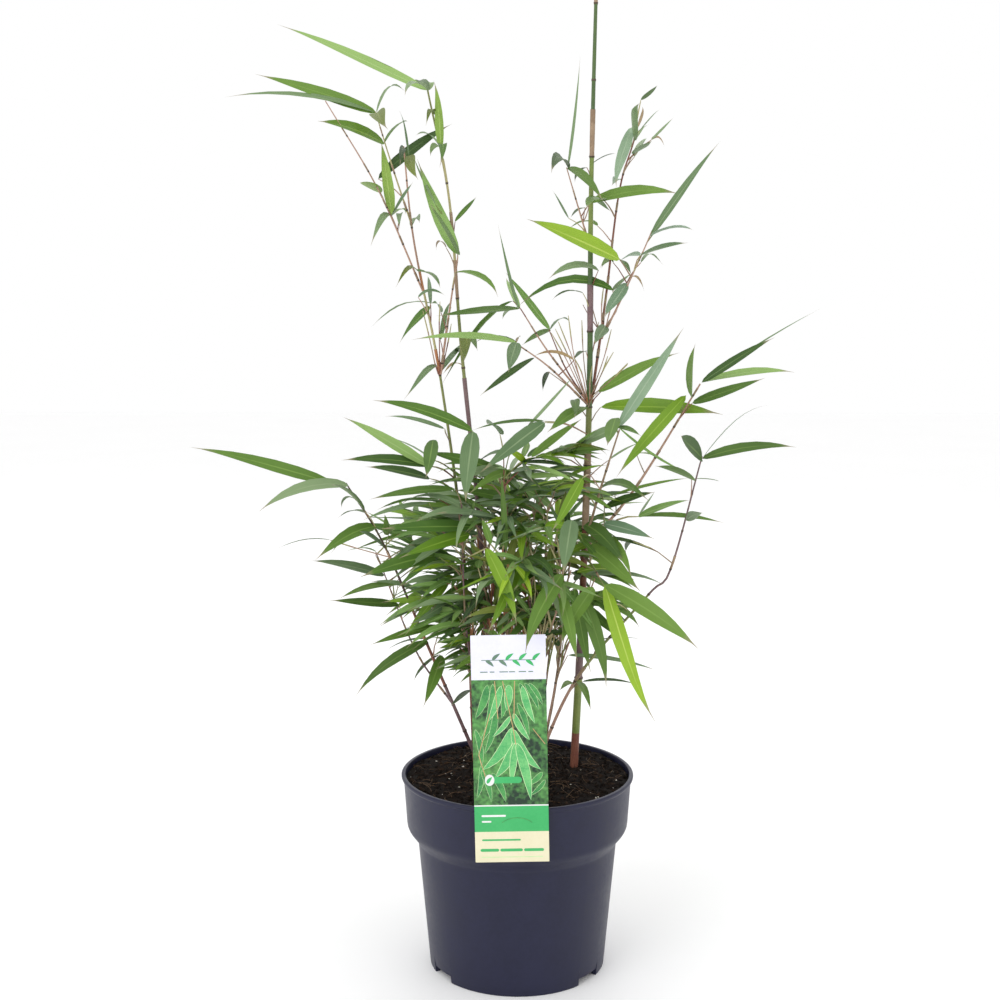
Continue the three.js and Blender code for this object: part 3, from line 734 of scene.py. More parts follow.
BOUGHS = {
    "bough_right_middle": ([(55, 11, 344), (94, -4, 396), (142, -18, 479)], 1.3, "pink"),
    "bough_right_short": ([(55, 11, 350), (66, -10, 397), (79, -26, 444)], 1.2, "tan"),
    "bough_right_low": ([(54, 11, 338), (60, -18, 334), (67, -40, 323)], 1.1, "olive"),
    "bough_fan_low": ([(55.6, 7, 461), (25, -6, 491), (-1, -19, 510)], 0.9, "pink"),
    "bough_fan_high": ([(55.6, 8.6, 463), (24, 0, 503), (2, -6, 537)], 0.9, "pink"),
    "bough_fan_back": ([(56, 9.6, 463), (39, 20, 488), (25, 30, 520)], 0.8, "red"),
    "bough_fan_right": ([(58.2, 8.6, 461), (70, 22, 544), (80, 24, 628), (91, 18, 668)], 1.2,
                        "red"),
    "bough_wing": ([(66.6, 18, 513), (80, 9, 541), (98, 0, 582), (104, -4, 597)], 0.9, "pink"),
    "bough_tall_upper": ([(56.4, 5, 585), (49, 10, 610), (38, 16, 647)], 0.8, "pink"),
    "bough_left_inner": ([(-61.8, 11, 485), (-54, 2, 536), (-47, -6, 577)], 1.0, "pink"),
    "bough_left_outer": ([(-75.4, 7.2, 551), (-108, -11, 628), (-146, -26, 693)], 0.8, "pink"),
    "bough_left_top": ([(-84.4, 4, 605), (-98, 10, 645), (-112, 14, 690)], 0.8, "straw"),
    "bough_left_low": ([(-55.2, 27, 211), (-86, 40, 253), (-119, 50, 334)], 0.9, "purple"),
}
# Thin culms behind the label and to its right: foot, top, half thickness, look.
THIN_CULMS = [
    ((14, 12, 153), (33, 2, 345), 0.9, "olive"), ((16, 16, 153), (24, 4, 380), 1.0, "straw"),
    ((18, 20, 153), (44, 10, 350), 0.8, "tan"), ((20, 14, 153), (62, -4, 322), 0.8, "pink"),
    ((17, 10, 153), (36, -10, 330), 0.7, "tan"), ((22, 18, 153), (31, 20, 340), 0.8, "olive"),
]
HIDDEN_CULMS = 13  # more of them, seeded round the clump's middle
CULM_FOOT = 153  # the height they start at, a little below the soil's top

limb_marks = []  # points along the limbs, for the twigs to leave from


def tube_finish(rings, sides):
    """One finish for each face of a tube, from one for each stretch between rings."""
    return [f for f in rings for _ in range(sides)] + [rings[0]] * sides + [rings[-1]] * sides


def limb_rings(length, nodes, sheaths, gap):
    """Distances along a limb: even steps, with close ones at its nodes and sheath ends."""
    marks = [np.arange(0, length, gap), [length]]
    for node in nodes:
        marks.append(node + np.array([-1.6, -0.7, 0, 0.7, 1.6]))
    for low, high in sheaths:
        marks.append([low + 0.1, high - 0.2, high + 0.2])
    rings = np.unique(np.clip(np.concatenate(marks), 0, length))
    return rings[np.r_[True, np.diff(rings) > 0.05]]


def limb_radii(rings, length, foot, tip, nodes, sheaths):
    """The half thickness: an even taper, a ridge at each node, a shallow waist just above
    it, and a sheath that stands off most where it opens."""
    taper = foot + (tip - foot) * rings / length
    radii = taper.copy()
    for node in nodes:
        away = rings - node
        radii += taper * (0.26 * np.exp(-(away / 0.9) ** 2) - 0.05 * np.exp(-((away - 4) / 3) ** 2))
    for low, high in sheaths:
        held = (rings > low) & (rings < high)
        share = (rings - low) / max(high - low, 1e-6)
        radii += held * (0.18 + 0.28 * share) * np.minimum(1, taper / 1.5)
    return radii


def add_limb(made, course, foot, tip, nodes, spans, look_at, gap, ridge, sides):
    """One limb. look_at says the look at a distance along it, and within the ridge of a
    node it is dark."""
    length = course[0][-1]
    rings = limb_rings(length, nodes, spans, gap)
    radii = limb_radii(rings, length, foot, tip, nodes, spans)
    finish = []
    for middle in (rings[1:] + rings[:-1]) / 2:
        at_node = len(nodes) and np.min(np.abs(nodes - middle)) < ridge
        finish.append(CULM.index("node" if at_node else look_at(middle)))
    made.add(*tube(along(course, rings), radii, sides), tube_finish(finish, sides))


def add_branch(made, course, foot, tip, nodes, sheath, look):
    """A thinner limb of one look, with a tan sheath of one length above each node."""
    spans = [(node, node + sheath) for node in nodes]

    def look_at(middle):
        return "tan" if any(low < middle < high for low, high in spans) else look

    add_limb(made, course, foot, tip, nodes, spans, look_at, 9, 0.7, 8)


def culm_finishes():
    """The finishes of canes, boughs and twigs, in the order of CULM."""
    return [mottled("culm_" + name, *pair, 95, 0.8, (0.36, 0.52), 0.25)
            for name, pair in CULM_PAINT.items()]


def cane_pieces(materials):
    """The culms, each with its zones of colour and its sheaths."""
    for name, cane in CANES.items():
        course = course_of(cane["course"])
        run, fine = course
        height = fine[:, 2]
        nodes = np.interp(cane["nodes"], height, run)
        spans = [tuple(np.interp([low, high], height, run)) for low, high, _ in cane["sheaths"]]
        zone_ends = np.interp([z for z, _ in cane["zones"]], height, run)

        def look_at(middle):
            for (low, high), (_, _, sheath) in zip(spans, cane["sheaths"]):
                if low < middle < high:
                    return sheath
            zone = min(int(np.searchsorted(zone_ends, middle)), len(zone_ends) - 1)
            return cane["zones"][zone][1]

        made = Joined()
        add_limb(made, course, cane["foot"], cane["tip"], nodes, spans, look_at, 5, 0.8, 12)
        piece = made.piece(name.replace("cane", "culm"), materials, 50)
        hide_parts(name)
        limb_marks.append(along(course, np.arange(20, run[-1] + 0.1, 6)))


def bough_pieces(materials):
    """Side branches, each with a joint about every 30 mm and a small sheath above it."""
    for name, (points, foot, look) in BOUGHS.items():
        made = Joined()
        course = course_of(points)
        length = course[0][-1]
        nodes = np.arange(9, length - 8, 34 - foot * 4)
        add_branch(made, course, foot, 0.5 * foot, nodes, 7, look)
        piece = made.piece(name.replace("bough", "branch"), materials, 50)
        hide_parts(name)
        limb_marks.append(along(course, np.arange(10, length + 0.1, 5)))


def clump_piece(materials):
    """The thin culms, those seen and those hidden behind them, in one piece."""
    clump = Joined()
    grown = list(THIN_CULMS)
    for i in range(HIDDEN_CULMS):
        turn, away = i * GOLDEN, 25 * math.sqrt((i + 0.5) / HIDDEN_CULMS)
        lean = random.uniform(4, 46) + away
        foot = (-3 + away * math.cos(turn), 20 + away * math.sin(turn), CULM_FOOT)
        top = (-3 + lean * math.cos(turn + random.normal(0, 0.5)),
               16 + lean * math.sin(turn + random.normal(0, 0.5)), random.uniform(310, 432))
        look = str(random.choice(["red", "red", "purple", "pink", "tan", "olive"]))
        grown.append((foot, top, random.uniform(0.8, 1.4), look))
    for foot, top, thick, look in grown:
        foot, top = np.array(foot, float), np.array(top, float)
        bow = (foot + top) / 2 + random.normal(0, 6, 3) * (1, 1, 0)
        course = course_of([foot, bow, top])
        length = course[0][-1]
        nodes = np.arange(random.uniform(20, 40), length - 10, random.uniform(42, 60))
        add_branch(clump, course, thick, 0.55, nodes, 24, look)
        limb_marks.append(along(course, np.arange(90, length + 0.1, 6)))
    piece = clump.piece("culms_thin", materials, 50)
    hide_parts(*[f"cane_clump_{i + 1}" for i in range(5)])


TWIG_LOOKS = ["pink", "tan", "red", "olive", "straw"]
twigs = Joined()


def twig(start, end, thick, lift, look=None, bundle=True):
    """A twig that leaves upwards and bends over to its end, swollen there by leaf sheaths."""
    start, end = np.asarray(start, float), np.asarray(end, float)
    span = float(np.linalg.norm(end - start))
    if span < 2:
        return
    sway = random.normal(0, 0.04 * span, 3)
    middle = start + 0.5 * (end - start) + UP * lift * span + sway
    course = course_of([start, middle, end])
    count = max(4, int(span / 9) + 2)
    rings = np.linspace(0, course[0][-1], count)
    radii = thick * (1 - 0.45 * rings / rings[-1])
    finish = [CULM.index(look or str(random.choice(TWIG_LOOKS)))] * (count - 1)
    if bundle and count > 4:
        radii[-3:-1] += 0.22
        finish[-2:] = [CULM.index("straw")] * 2
    twigs.add(*tube(along(course, rings), radii, 5), tube_finish(finish, 5))


# ------------------------------------------------------------------ leaves
# The darker and the lighter green of each tint, then its midrib.
TINTS = {
    "lime": ((130, 162, 70), (164, 194, 100), (177, 202, 117)),
    # glow is painted light: its bright yellow-green stands in for light shining through backlit
    # leaves, which these opaque blades don't let through.
    "glow": ((106, 145, 26), (149, 183, 47), (192, 213, 102)),
    "bright": ((83, 121, 21), (119, 155, 38), (143, 175, 66)),
    "mid": ((68, 104, 34), (109, 143, 58), (126, 158, 75)),
    "deep": ((55, 85, 32), (92, 124, 51), (109, 138, 66)),
    "dark": ((49, 72, 36), (81, 109, 55), (96, 121, 70)),
    "olive": ((79, 96, 30), (113, 126, 49), (130, 141, 68)),
    "grey": ((89, 117, 77), (132, 155, 111), (145, 166, 124)),
    "ice": ((106, 136, 104), (151, 175, 145), (164, 183, 155)),
    "pale": ((104, 143, 66), (147, 179, 104), (164, 192, 126)),
    "tan": ((130, 106, 70), (168, 143, 102), (179, 160, 124)),
}
leaf_rows = {tint: [] for tint in TINTS}

STATIONS = np.array([0.04, 0.12, 0.25, 0.41, 0.57, 0.71, 0.83, 0.92])  # along a blade
KEEL = 0.32  # how far a blade's edges stand above its midrib, as a share of its half width
THREAD = 0.07  # the tip's width, as a share of the widest place
SLENDER = 0.86  # the share of the widths in SPRAYS that is drawn


def add_leaf(start, reach, width, sag, tint, facing, twist=0.0, hook=0.0):
    """Keeps one leaf: where it starts, how far it reaches, how it lies, and its own shade."""
    leaf_rows[tint].append([*start, *reach, width, sag, *facing, twist, hook, random.random()])


def blades(rows):
    """Many leaves as closed thin blades. The middle line runs from the start along the
    reach, raised by the sag's parabola 4 s (1 - s) and bent aside near its end by s^5;
    the half width follows s^0.55 (1 - s / 0.93)^0.95 and ends in a thread; its upper side
    looks the way it faces, turned by the twist. Returns each leaf's points, the faces of
    one leaf, its map across and along, and each leaf's shade."""
    rows = np.array(rows, float)
    start, reach, width, sag = rows[:, :3], rows[:, 3:6], rows[:, 6], rows[:, 7]
    facing, twist, hook, tone = rows[:, 8:11], rows[:, 11], rows[:, 12], rows[:, 13]
    length = np.linalg.norm(reach, axis=1)
    s = STATIONS[None, :, None]
    flat = unit(np.cross(reach, UP) + 1e-6)
    middle = start[:, None] + reach[:, None] * s
    middle = middle + UP * (sag * length)[:, None, None] * 4 * s * (1 - s)
    droop = 0.5 * twist * np.abs(hook) - 0.3 * np.abs(hook)
    curl = (flat * hook[:, None] + UP * droop[:, None]) * length[:, None]
    middle = middle + curl[:, None] * s**5
    tip = start + reach + curl
    whole = np.concatenate([start[:, None], middle, tip[:, None]], axis=1)
    tangent = unit(whole[:, 2:] - whole[:, :-2])
    across = unit(np.cross(tangent, facing[:, None]))
    lift = np.cross(across, tangent)
    turn = (twist[:, None] * (STATIONS[None] - 0.4))[..., None]
    across, lift = (across * np.cos(turn) + lift * np.sin(turn),
                    lift * np.cos(turn) - across * np.sin(turn))
    body = STATIONS**0.55 * np.maximum(1 - STATIONS / 0.93, 0) ** 0.95
    shape = np.maximum(body / body.max(), THREAD)
    half = (width[:, None] / 2 * shape[None])[..., None]
    fold = half * KEEL
    left, right = middle - across * half + lift * fold, middle + across * half + lift * fold
    rib = 0.1 + 0.012 * width[:, None, None]
    upper = middle + lift * 0.06
    lower = middle - lift * rib * np.minimum(1, 4 * shape)[None, :, None]
    n = len(STATIONS)
    points = np.concatenate([start[:, None], left, upper, right, lower, tip[:, None]], axis=1)
    last = 4 * n + 1
    faces = []
    for first, second in ((1, 1 + n), (1 + n, 1 + 2 * n), (1 + 2 * n, 1 + 3 * n), (1 + 3 * n, 1)):
        faces.append([0, second, first])
        for i in range(n - 1):
            faces.append([first + i, second + i, second + i + 1, first + i + 1])
        faces.append([last, first + n - 1, second + n - 1])
    sides = np.array([0.5] + [0.0] * n + [0.5] * n + [1.0] * n + [0.5] * n + [0.5])
    ways = np.r_[0, STATIONS, STATIONS, STATIONS, STATIONS, 1]
    return points, faces, sides, ways, tone


def leaf_piece(tint, rows, nodes):
    """All the leaves of one tint as one mesh, with its map and each leaf's own shade."""
    points, pattern, sides, ways, tone = blades(rows)
    count, each = points.shape[:2]
    made = Joined()
    faces = [[corner + leaf * each for corner in face] for leaf in range(count) for face in pattern]
    made.add(points.reshape(-1, 3), faces, 0)
    dark, light, rib = TINTS[tint]
    roughness = 0.46 if tint in ("glow", "bright") else 0.55
    finish = leaf_finish("leaf_" + tint, dark, light, rib, roughness)
    piece = made.piece("leaves_in_" + tint, [finish], 75)
    mesh = piece.data
    layer = mesh.uv_layers.new(name="blade")
    corner_of = np.empty(len(mesh.loops), np.int32)
    mesh.loops.foreach_get("vertex_index", corner_of)
    spots = np.stack([np.tile(sides, count), np.tile(ways, count)], axis=1)
    layer.data.foreach_set("uv", spots[corner_of].ravel().astype(np.float32))
    shade = mesh.attributes.new("shade", "FLOAT", "POINT")
    shade.data.foreach_set("value", np.repeat(tone, each).astype(np.float32))
    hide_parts(*nodes)


# The leading leaves by spray: the heart that the spray springs from, then each leaf's reach
# in x, y and z, its width, its arch (twice the share of its length that it rises above a
# straight line), its tint, and sometimes its start's offset in x and z from the heart.
SPRAYS = {
    "left_tip": ((-70, 0, 704), [
        (-114, -12, 50, 10, .03, "pale"), (-18, -46, -9, 9, .3, "grey"), (0, 60, 14, 8, .1, "mid"),
        (-16, 70, 12, 9, .2, "dark")]),
    "left_upper": ((-60, 2, 660), [
        (-2, -14, 52, 8, -.05, "lime"), (-14, 55, 0, 7, .2, "mid"), (6, -60, -18, 8, .3, "mid"),
        (-24, 62, 17, 6, .2, "grey"), (-3, -50, -14, 6, .3, "olive", (-5, 26))]),
    "outer_top": ((-111, 14, 689), [
        (-95, 0, 30, 11, .05, "mid"), (-118, -8, 12, 7, .14, "grey"),
        (10, -75, -20, 15, .1, "olive"), (16, 50, 24, 6, .4, "grey")]),
    "outer_mid": ((-105, 11, 665), [
        (-45, -50, 12, 15, .1, "bright"), (57, 30, 46, 10, .1, "dark", (-5, -27)),
        (-12, -70, 4, 11, .05, "bright", (-3, -38)), (16, 70, 26, 7, .15, "mid")]),
    "left_fork": ((-99, 2, 609), [
        (-8, 14, 60, 10, 0, "lime"), (21, -55, 22, 10, 0, "grey"), (-11, -46, -25, 7, .35, "grey"),
        (3, -60, -13, 6, .2, "grey", (7, 0)), (12, 62, 6, 6, .15, "mid")]),
    "left_small": ((-85, 2, 655), [
        (9, -66, -22, 11, .05, "olive"), (0, -40, -17, 6, .2, "dark", (-4, 6)),
        (3, 62, 6, 9, .2, "grey", (2, -54)), (-8, 40, 42, 2.2, 0, "grey")]),
    "left_pair": ((-47, -6, 579), [
        (-20, -60, 36, 21, .06, "mid"), (-32, 16, 75, 13, -.1, "pale"),
        (17, 20, 21, 5, .03, "mid", (-2, 25)), (-13, 40, 0, 3, .3, "tan", (-9, 5)),
        (39, -40, -15, 8, .18, "mid", (-2, -14)), (-21, 30, 41, 2.4, 0, "grey", (-17, 38))]),
    "left_node": ((-79, 6, 566), [
        (24, -66, -13, 9, .12, "mid"), (-13, -40, -13, 5, .4, "olive"),
        (-28, 24, -29, 11, .1, "mid", (10, -28)), (-49, 40, -17, 4, .25, "grey", (10, -25)),
        (22, -40, 2, 4, .2, "grey", (0, -20)), (-8, 60, 8, 7, .1, "mid", (18, -32)),
        (-6, 70, 24, 4, .1, "grey", (10, -26))]),
    "left_back_low": ((-62, 12, 487), [
        (-18, -55, -23, 6, .2, "grey", (-3, 5)), (3, 75, 32, 5, .05, "mid", (0, 25)),
        (22, 60, 24, 6, .1, "grey")]),
    "fan_high": ((1, -8, 537), [
        (-62, -48, -5, 11, .03, "deep"), (-57, 44, -70, 9, .25, "mid", (-5, 6)),
        (-16, -4, 67, 3.2, -.2, "grey"), (-13, 66, 26, 6, .05, "pale"),
        (-16, 70, -9, 8, .1, "grey")]),
    "fan_low": ((-1, -19, 511), [
        (-79, -26, 4, 9, .1, "pale"), (-37, 44, -2, 5, .2, "dark"),
        (-7, -48, -21, 12, .05, "grey"), (3, 50, 3, 4, .1, "tan")]),
    "fan_back": ((26, 30, 520), [
        (-36, 18, 47, 7, .02, "pale"), (-22, 50, -14, 8, .06, "mid"), (20, 64, 5, 4, .2, "grey")]),
    "fan_under": ((13, -10, 499), [
        (-43, -36, -28, 7, .05, "dark"), (-32, 20, 2, 3.5, .3, "tan", (31, -2)),
        (-5, 50, -18, 5, .1, "dark", (11, -11))]),
    "left_hang": ((-41, 14, 518), [
        (3, -54, -20, 12, .05, "olive"), (-12, 60, -8, 7, .1, "dark", (-2, -14)),
        (-17, 50, -10, 4, .2, "tan", (-4, -26)), (7, 66, -17, 8, .1, "mid")]),
    "arch": ((75, 0, 551), [
        (-74, 30, -11, 10, .36, "mid"), (-42, -58, -8, 9, .2, "grey", (-12, 16)),
        (-24, 40, -5, 4, .2, "dark", (-24, -2))]),
    "lime": ((79, -6, 575), [
        (-75, -44, 30, 19, .04, "glow"), (-14, 60, -4, 6, .1, "mid"),
        (13, 62, -11, 7, .1, "mid")]),
    "tall_high": ((39, 16, 647), [
        (10, 6, 88, 2.8, -.16, "grey"), (26, -52, -30, 10, .15, "deep"),
        (-17, -66, -10, 12, .3, "dark"), (23, 40, 13, 4, .1, "dark", (18, 2)),
        (-10, 60, -6, 5, .1, "dark", (15, 0))]),
    "tall_mid": ((68, 20, 622), [
        (-20, -64, -9, 13, .1, "mid"), (15, 60, -5, 9, .1, "mid", (-10, 0)),
        (-10, 50, -5, 5, .1, "dark", (-15, -6)), (-18, 46, 1, 7, .2, "mid", (-5, -20)),
        (-11, 40, 25, 2, 0, "grey", (-28, -14))]),
    "right_tip": ((91, 18, 668), [
        (-6, -52, 25, 10, .02, "grey"), (-19, -40, -48, 10, -.03, "ice", (-2, 10)),
        (9, 40, 23, 3, 0, "tan", (3, 10)), (17, 30, 16, 4, 0, "dark", (5, 31)),
        (19, 44, 24, 2.5, 0, "grey", (4, 7)), (14, 70, 22, 5, 0, "mid")]),
    "right_upper": ((80, 24, 628), [
        (69, -26, 8, 12, .14, "mid", (-24, -8)), (9, -64, 4, 9, 0, "grey", (11, 30)),
        (20, 30, 21, 2.5, 0, "grey", (25, 41)), (14, 30, -2, 3, .3, "tan", (25, 41)),
        (0, 70, 1, 8, .1, "ice", (0, 10)), (17, 66, 22, 8, .1, "grey", (12, 28))]),
    "wing": ((103, -4, 593), [
        (49, -20, 71, 8, .03, "grey"), (29, -60, 2, 11, .14, "ice"),
        (34, 40, 45, 4, 0, "dark", (9, 11)), (29, -64, 8, 12, .04, "grey", (-8, -15)),
        (-11, 60, -3, 8, .1, "ice", (-8, -15))]),
    "inner_high": ((86, 10, 557), [
        (-23, -54, -25, 11, -.04, "ice"), (18, 40, -6, 3, .4, "tan"),
        (19, 50, 0, 4, .3, "grey", (11, 16)), (-6, 60, -3, 4, .2, "mid", (-11, 16))]),
    "inner_low": ((70, 16, 523), [
        (-12, -56, -13, 11, .05, "grey"), (21, 60, 15, 5, .05, "mid", (5, 28)),
        (15, 66, 14, 4, 0, "tan")]),
    "fan_node": ((56, 6, 459), [
        (95, -22, -1, 17, .05, "bright", (10, 0)), (65, 26, 32, 12, .06, "mid", (8, 12)),
        (-33, -62, -15, 14, .1, "mid"), (0, -66, -9, 9, .1, "deep", (-11, 6)),
        (-7, 60, -9, 6, .1, "deep", (-2, 44))]),
    "right_small": ((78, -26, 446), [
        (47, -30, 78, 11, .04, "ice"), (-10, -58, -16, 13, .02, "mid", (-2, 7)),
        (-42, 30, -24, 11, .05, "grey"), (12, -66, -1, 7, .05, "mid"),
        (63, 20, -40, 2.6, -.1, "pale")]),
    "right_far": ((143, -18, 480), [
        (56, -2, 37, 8, .04, "deep"), (91, -2, 58, 1.7, .06, "grey"), (76, 30, 10, 9, .08, "pale"),
        (50, -40, 22, 9, .02, "deep", (-7, -16)), (-7, -66, 44, 15, 0, "mid", (-8, -11)),
        (-58, -30, -60, 12, .03, "bright", (-12, -10))]),
    "right_outer": ((145, -14, 420), [
        (76, 6, 9, 10, .14, "deep"), (51, 44, 43, 2.2, .12, "grey"),
        (-29, -70, 25, 17, .06, "deep"), (-37, -58, 18, 11, .05, "deep", (-5, -17)),
        (31, 50, -8, 3, .05, "mid", (-8, -16)), (5, -64, 16, 9, .05, "grey", (-12, -49))]),
    "right_side": ((96, -8, 373), [
        (38, -44, 20, 9, .06, "pale"), (69, -2, -5, 6, .12, "deep"),
        (20, 60, 13, 2.4, .05, "grey"), (-3, 60, -19, 7, .1, "dark", (-4, -20))]),
    "right_inside": ((70, 8, 378), [
        (37, -46, 19, 9, .06, "deep"), (35, 46, -1, 8, .03, "bright"),
        (63, 10, 13, 3, .06, "mid", (8, 11)), (32, -56, -2, 13, .28, "mid", (-4, 15)),
        (30, -44, -26, 15, .2, "deep", (-16, -14)), (27, 40, 11, 7, .03, "mid", (4, 39)),
        (25, 50, -10, 5, .08, "mid", (25, 44))]),
    "right_low_inside": ((71, 0, 355), [
        (35, -50, -4, 11, .06, "ice", (-2, 11)), (46, -6, -14, 4, .14, "dark"),
        (19, -46, -25, 10, .2, "mid"), (37, -58, -26, 16, .08, "mid", (-14, -7)),
        (22, 60, -19, 7, .2, "dark", (-6, -7))]),
    "droop": ((68, -40, 324), [
        (29, -44, -98, 15, .05, "glow"), (69, -56, -36, 17, .06, "mid"),
        (-30, -50, -34, 14, .05, "mid", (-9, -2)), (21, -20, -64, 13, .06, "deep", (-16, -11)),
        (12, 6, -69, 12, .05, "mid", (-24, -3)), (42, 60, -17, 3, .1, "dark", (0, -16))]),
    "low_right": ((53, 4, 235), [
        (9, -50, -11, 8, .2, "mid", (-4, 0)), (-12, -60, 11, 8, .1, "mid", (-7, -2)),
        (48, 30, -10, 3.4, .12, "dark"), (79, 30, -21, 5, .1, "grey", (-12, 22)),
        (37, 50, -10, 4, .05, "dark", (14, 35))]),
    "front_hang": ((34, -60, 336), [
        (-33, -62, -46, 15, .1, "mid"), (27, -30, -51, 13, .05, "bright", (-58, 20)),
        (-8, -60, -31, 16, .06, "grey", (7, 42)), (-23, -40, -35, 10, .03, "bright", (15, 74)),
        (10, -40, -42, 11, .1, "mid", (0, -17))]),
    "centre_front": ((-35, -22, 442), [
        (-6, -44, -50, 17, .02, "grey"), (-77, -20, 26, 12, .12, "mid"),
        (-48, 26, 9, 4, .1, "grey", (-22, 2)), (-10, -70, 14, 14, .1, "grey", (21, -2)),
        (-58, -10, -6, 4, .12, "dark", (56, 8)), (-48, -44, -34, 14, .06, "grey", (56, 7)),
        (40, 20, 43, 3, 0, "grey", (41, 2))]),
    "middle_left_top": ((-70, -6, 413), [
        (-68, -14, 43, 11, .02, "pale"), (-68, -22, 7, 11, .1, "deep"),
        (-47, -48, 15, 11, .06, "deep", (0, -10)), (-2, -56, -24, 13, .02, "mid", (3, 21)),
        (-42, 50, 14, 4, .1, "grey", (2, 5))]),
    "far_left": ((-135, -4, 397), [
        (-108, -26, 34, 12, .03, "mid", (-13, 2)), (-66, -46, -14, 12, .22, "grey"),
        (-20, -64, 30, 12, .15, "deep", (13, -21)), (-21, 50, -15, 4, .2, "dark", (5, -11))]),
    "left_out": ((-114, 2, 363), [
        (-42, -40, -20, 13, .2, "mid"), (-36, 40, -31, 10, .25, "grey", (-4, 2)),
        (-16, -62, 24, 8, .1, "grey", (7, -18)), (-49, 40, -14, 4, .14, "dark", (-37, -11)),
        (-28, 50, -11, 5, .15, "dark", (-8, 11)), (3, -66, 28, 9, .02, "mid", (10, -7))]),
    "left_out_low": ((-106, 40, 311), [
        (-56, -50, 22, 11, .06, "grey", (-5, 5)), (-55, -30, 10, 9, .03, "deep", (7, -20)),
        (-43, -60, 0, 8, .12, "mid", (6, -3)), (-29, 60, -9, 4, .1, "mid", (-12, 25))]),
    "left_middle": ((-62, -18, 364), [
        (-70, -50, 6, 13, .04, "mid", (27, 2)), (-56, -46, -9, 15, .08, "mid", (-2, -21)),
        (-50, -60, -8, 13, .05, "bright", (24, -4)), (-66, -30, -4, 9, .08, "deep", (13, 32)),
        (-50, -34, -9, 6, .1, "grey", (-8, 21)), (-52, 44, -13, 8, .1, "mid", (0, 24)),
        (-47, 50, -3, 8, .05, "grey", (12, 20))]),
    "left_low": ((-67, 18, 265), [
        (-60, -30, -35, 11, .12, "deep", (-7, 0)), (-11, -48, -30, 12, .1, "mid", (5, -12)),
        (-54, -40, -7, 9, .06, "mid", (3, 13)), (-39, 50, -22, 6, .1, "dark", (-9, 2)),
        (-13, -50, 0, 8, .05, "dark", (28, -41)), (-28, 40, -33, 5, .1, "dark", (3, -11))]),
    "tall_tip": ((62, 0, 896), [
        (8, 10, 36, 5, 0, "mid"), (-26, -22, 26, 6, .1, "bright"), (26, 26, 24, 6, .1, "mid"),
        (-12, 34, 12, 6, .15, "deep")]),
    "tall_below_tip": ((61, 0, 862), [
        (-44, -20, 30, 8, .06, "mid"), (-30, 34, 20, 7, .1, "bright"),
        (40, -26, 24, 8, .08, "deep"), (36, 34, 28, 7, .1, "mid", (0, -3)),
        (8, -46, 12, 7, .12, "bright")]),
}

# Where the crown is dense, sprays are seeded: middle and half sizes of the room for their
# hearts, how many, the length of their leaves, the way they lean, and their rise.
THICKETS = [
    ((-2, 2, 388), (40, 32, 44), 26, (40, 74), None, 0.0),
    ((32, 0, 420), (20, 20, 20), 3, (34, 58), None, 0.12),
    ((-50, -2, 368), (30, 28, 26), 9, (44, 78), (-1, -0.3), 0.04),
    ((-54, 6, 312), (36, 34, 36), 17, (34, 62), (-1, -0.2), -0.1),
    ((48, 2, 366), (22, 28, 30), 5, (36, 58), (1, -0.3), -0.15),
    ((48, 2, 318), (24, 28, 26), 6, (40, 66), (0.8, -0.4), -0.3),
    ((8, -44, 348), (34, 20, 32), 8, (40, 70), (0, -1), -0.3),
    ((6, 4, 302), (32, 30, 26), 17, (28, 54), None, -0.05),
    ((-42, 6, 280), (12, 20, 24), 8, (26, 48), (-0.6, -0.5), -0.15),
    ((-39, 2, 258), (9, 16, 16), 8, (20, 38), (-0.8, -0.4), -0.25),
    ((0, 74, 352), (44, 28, 42), 22, (46, 80), (-0.1, 1), 0.0),
    ((-62, 68, 334), (34, 26, 36), 11, (46, 76), (-0.7, 0.8), -0.02),
    ((52, 66, 338), (26, 26, 34), 10, (40, 62), (0.5, 0.9), -0.08),
]
FAR_OUT = 70  # a heart further than this from any limb is drawn in
# The shares lean to the paler tints as painted light: the crown's leaves are made lighter to stand
# in for the soft light that reaches into the crown and shines through its leaves, where the render
# shades them.
THICKET_TINTS = ["deep", "mid", "dark", "bright", "grey", "olive", "pale", "glow"]
THICKET_SHARES = [0.08, 0.25, 0.03, 0.13, 0.26, 0.02, 0.19, 0.04]


def joint_for(heart, marks):
    """Where a twig to a heart leaves its limb: the nearest mark, with those that aren't
    well below the heart put at a disadvantage. Also how far the nearest of all is."""
    offset = heart - marks
    away = np.linalg.norm(offset, axis=1)
    away = away + np.where(offset[:, 2] < 12, 40 + np.abs(offset[:, 2]), 0)
    return marks[np.argmin(away)], float(np.min(np.linalg.norm(offset, axis=1)))


def grow_sprays(marks):
    """The leading leaves: a twig to each spray's heart, and a short one to each leaf."""
    for heart, leaves in SPRAYS.values():
        heart = np.array(heart, float)
        joint, gap = joint_for(heart, marks)
        if gap > 6:
            twig(joint, heart, 0.75, 0.08)
        for leaf in leaves:
            reach, (width, arch, tint) = np.array(leaf[:3], float), leaf[3:6]
            start = heart.copy()
            if len(leaf) > 6:
                start += [leaf[6][0], 0, leaf[6][1]]
                near, near_gap = joint_for(start, np.vstack([marks, heart[None]]))
                if near_gap > 3:
                    twig(near, start, 0.55, 0.05)
            facing = unit(np.array([random.normal(0, 0.18), -0.8, 0.55 + random.normal(0, 0.15)]))
            if reach[1] > 35:
                facing = unit(np.array([random.normal(0, 0.3), 0.3, 1]))
            add_leaf(start, reach, width * SLENDER, 0.5 * arch - 0.01, tint, facing,
                     random.normal(0, 0.35), random.normal(0, 0.05))


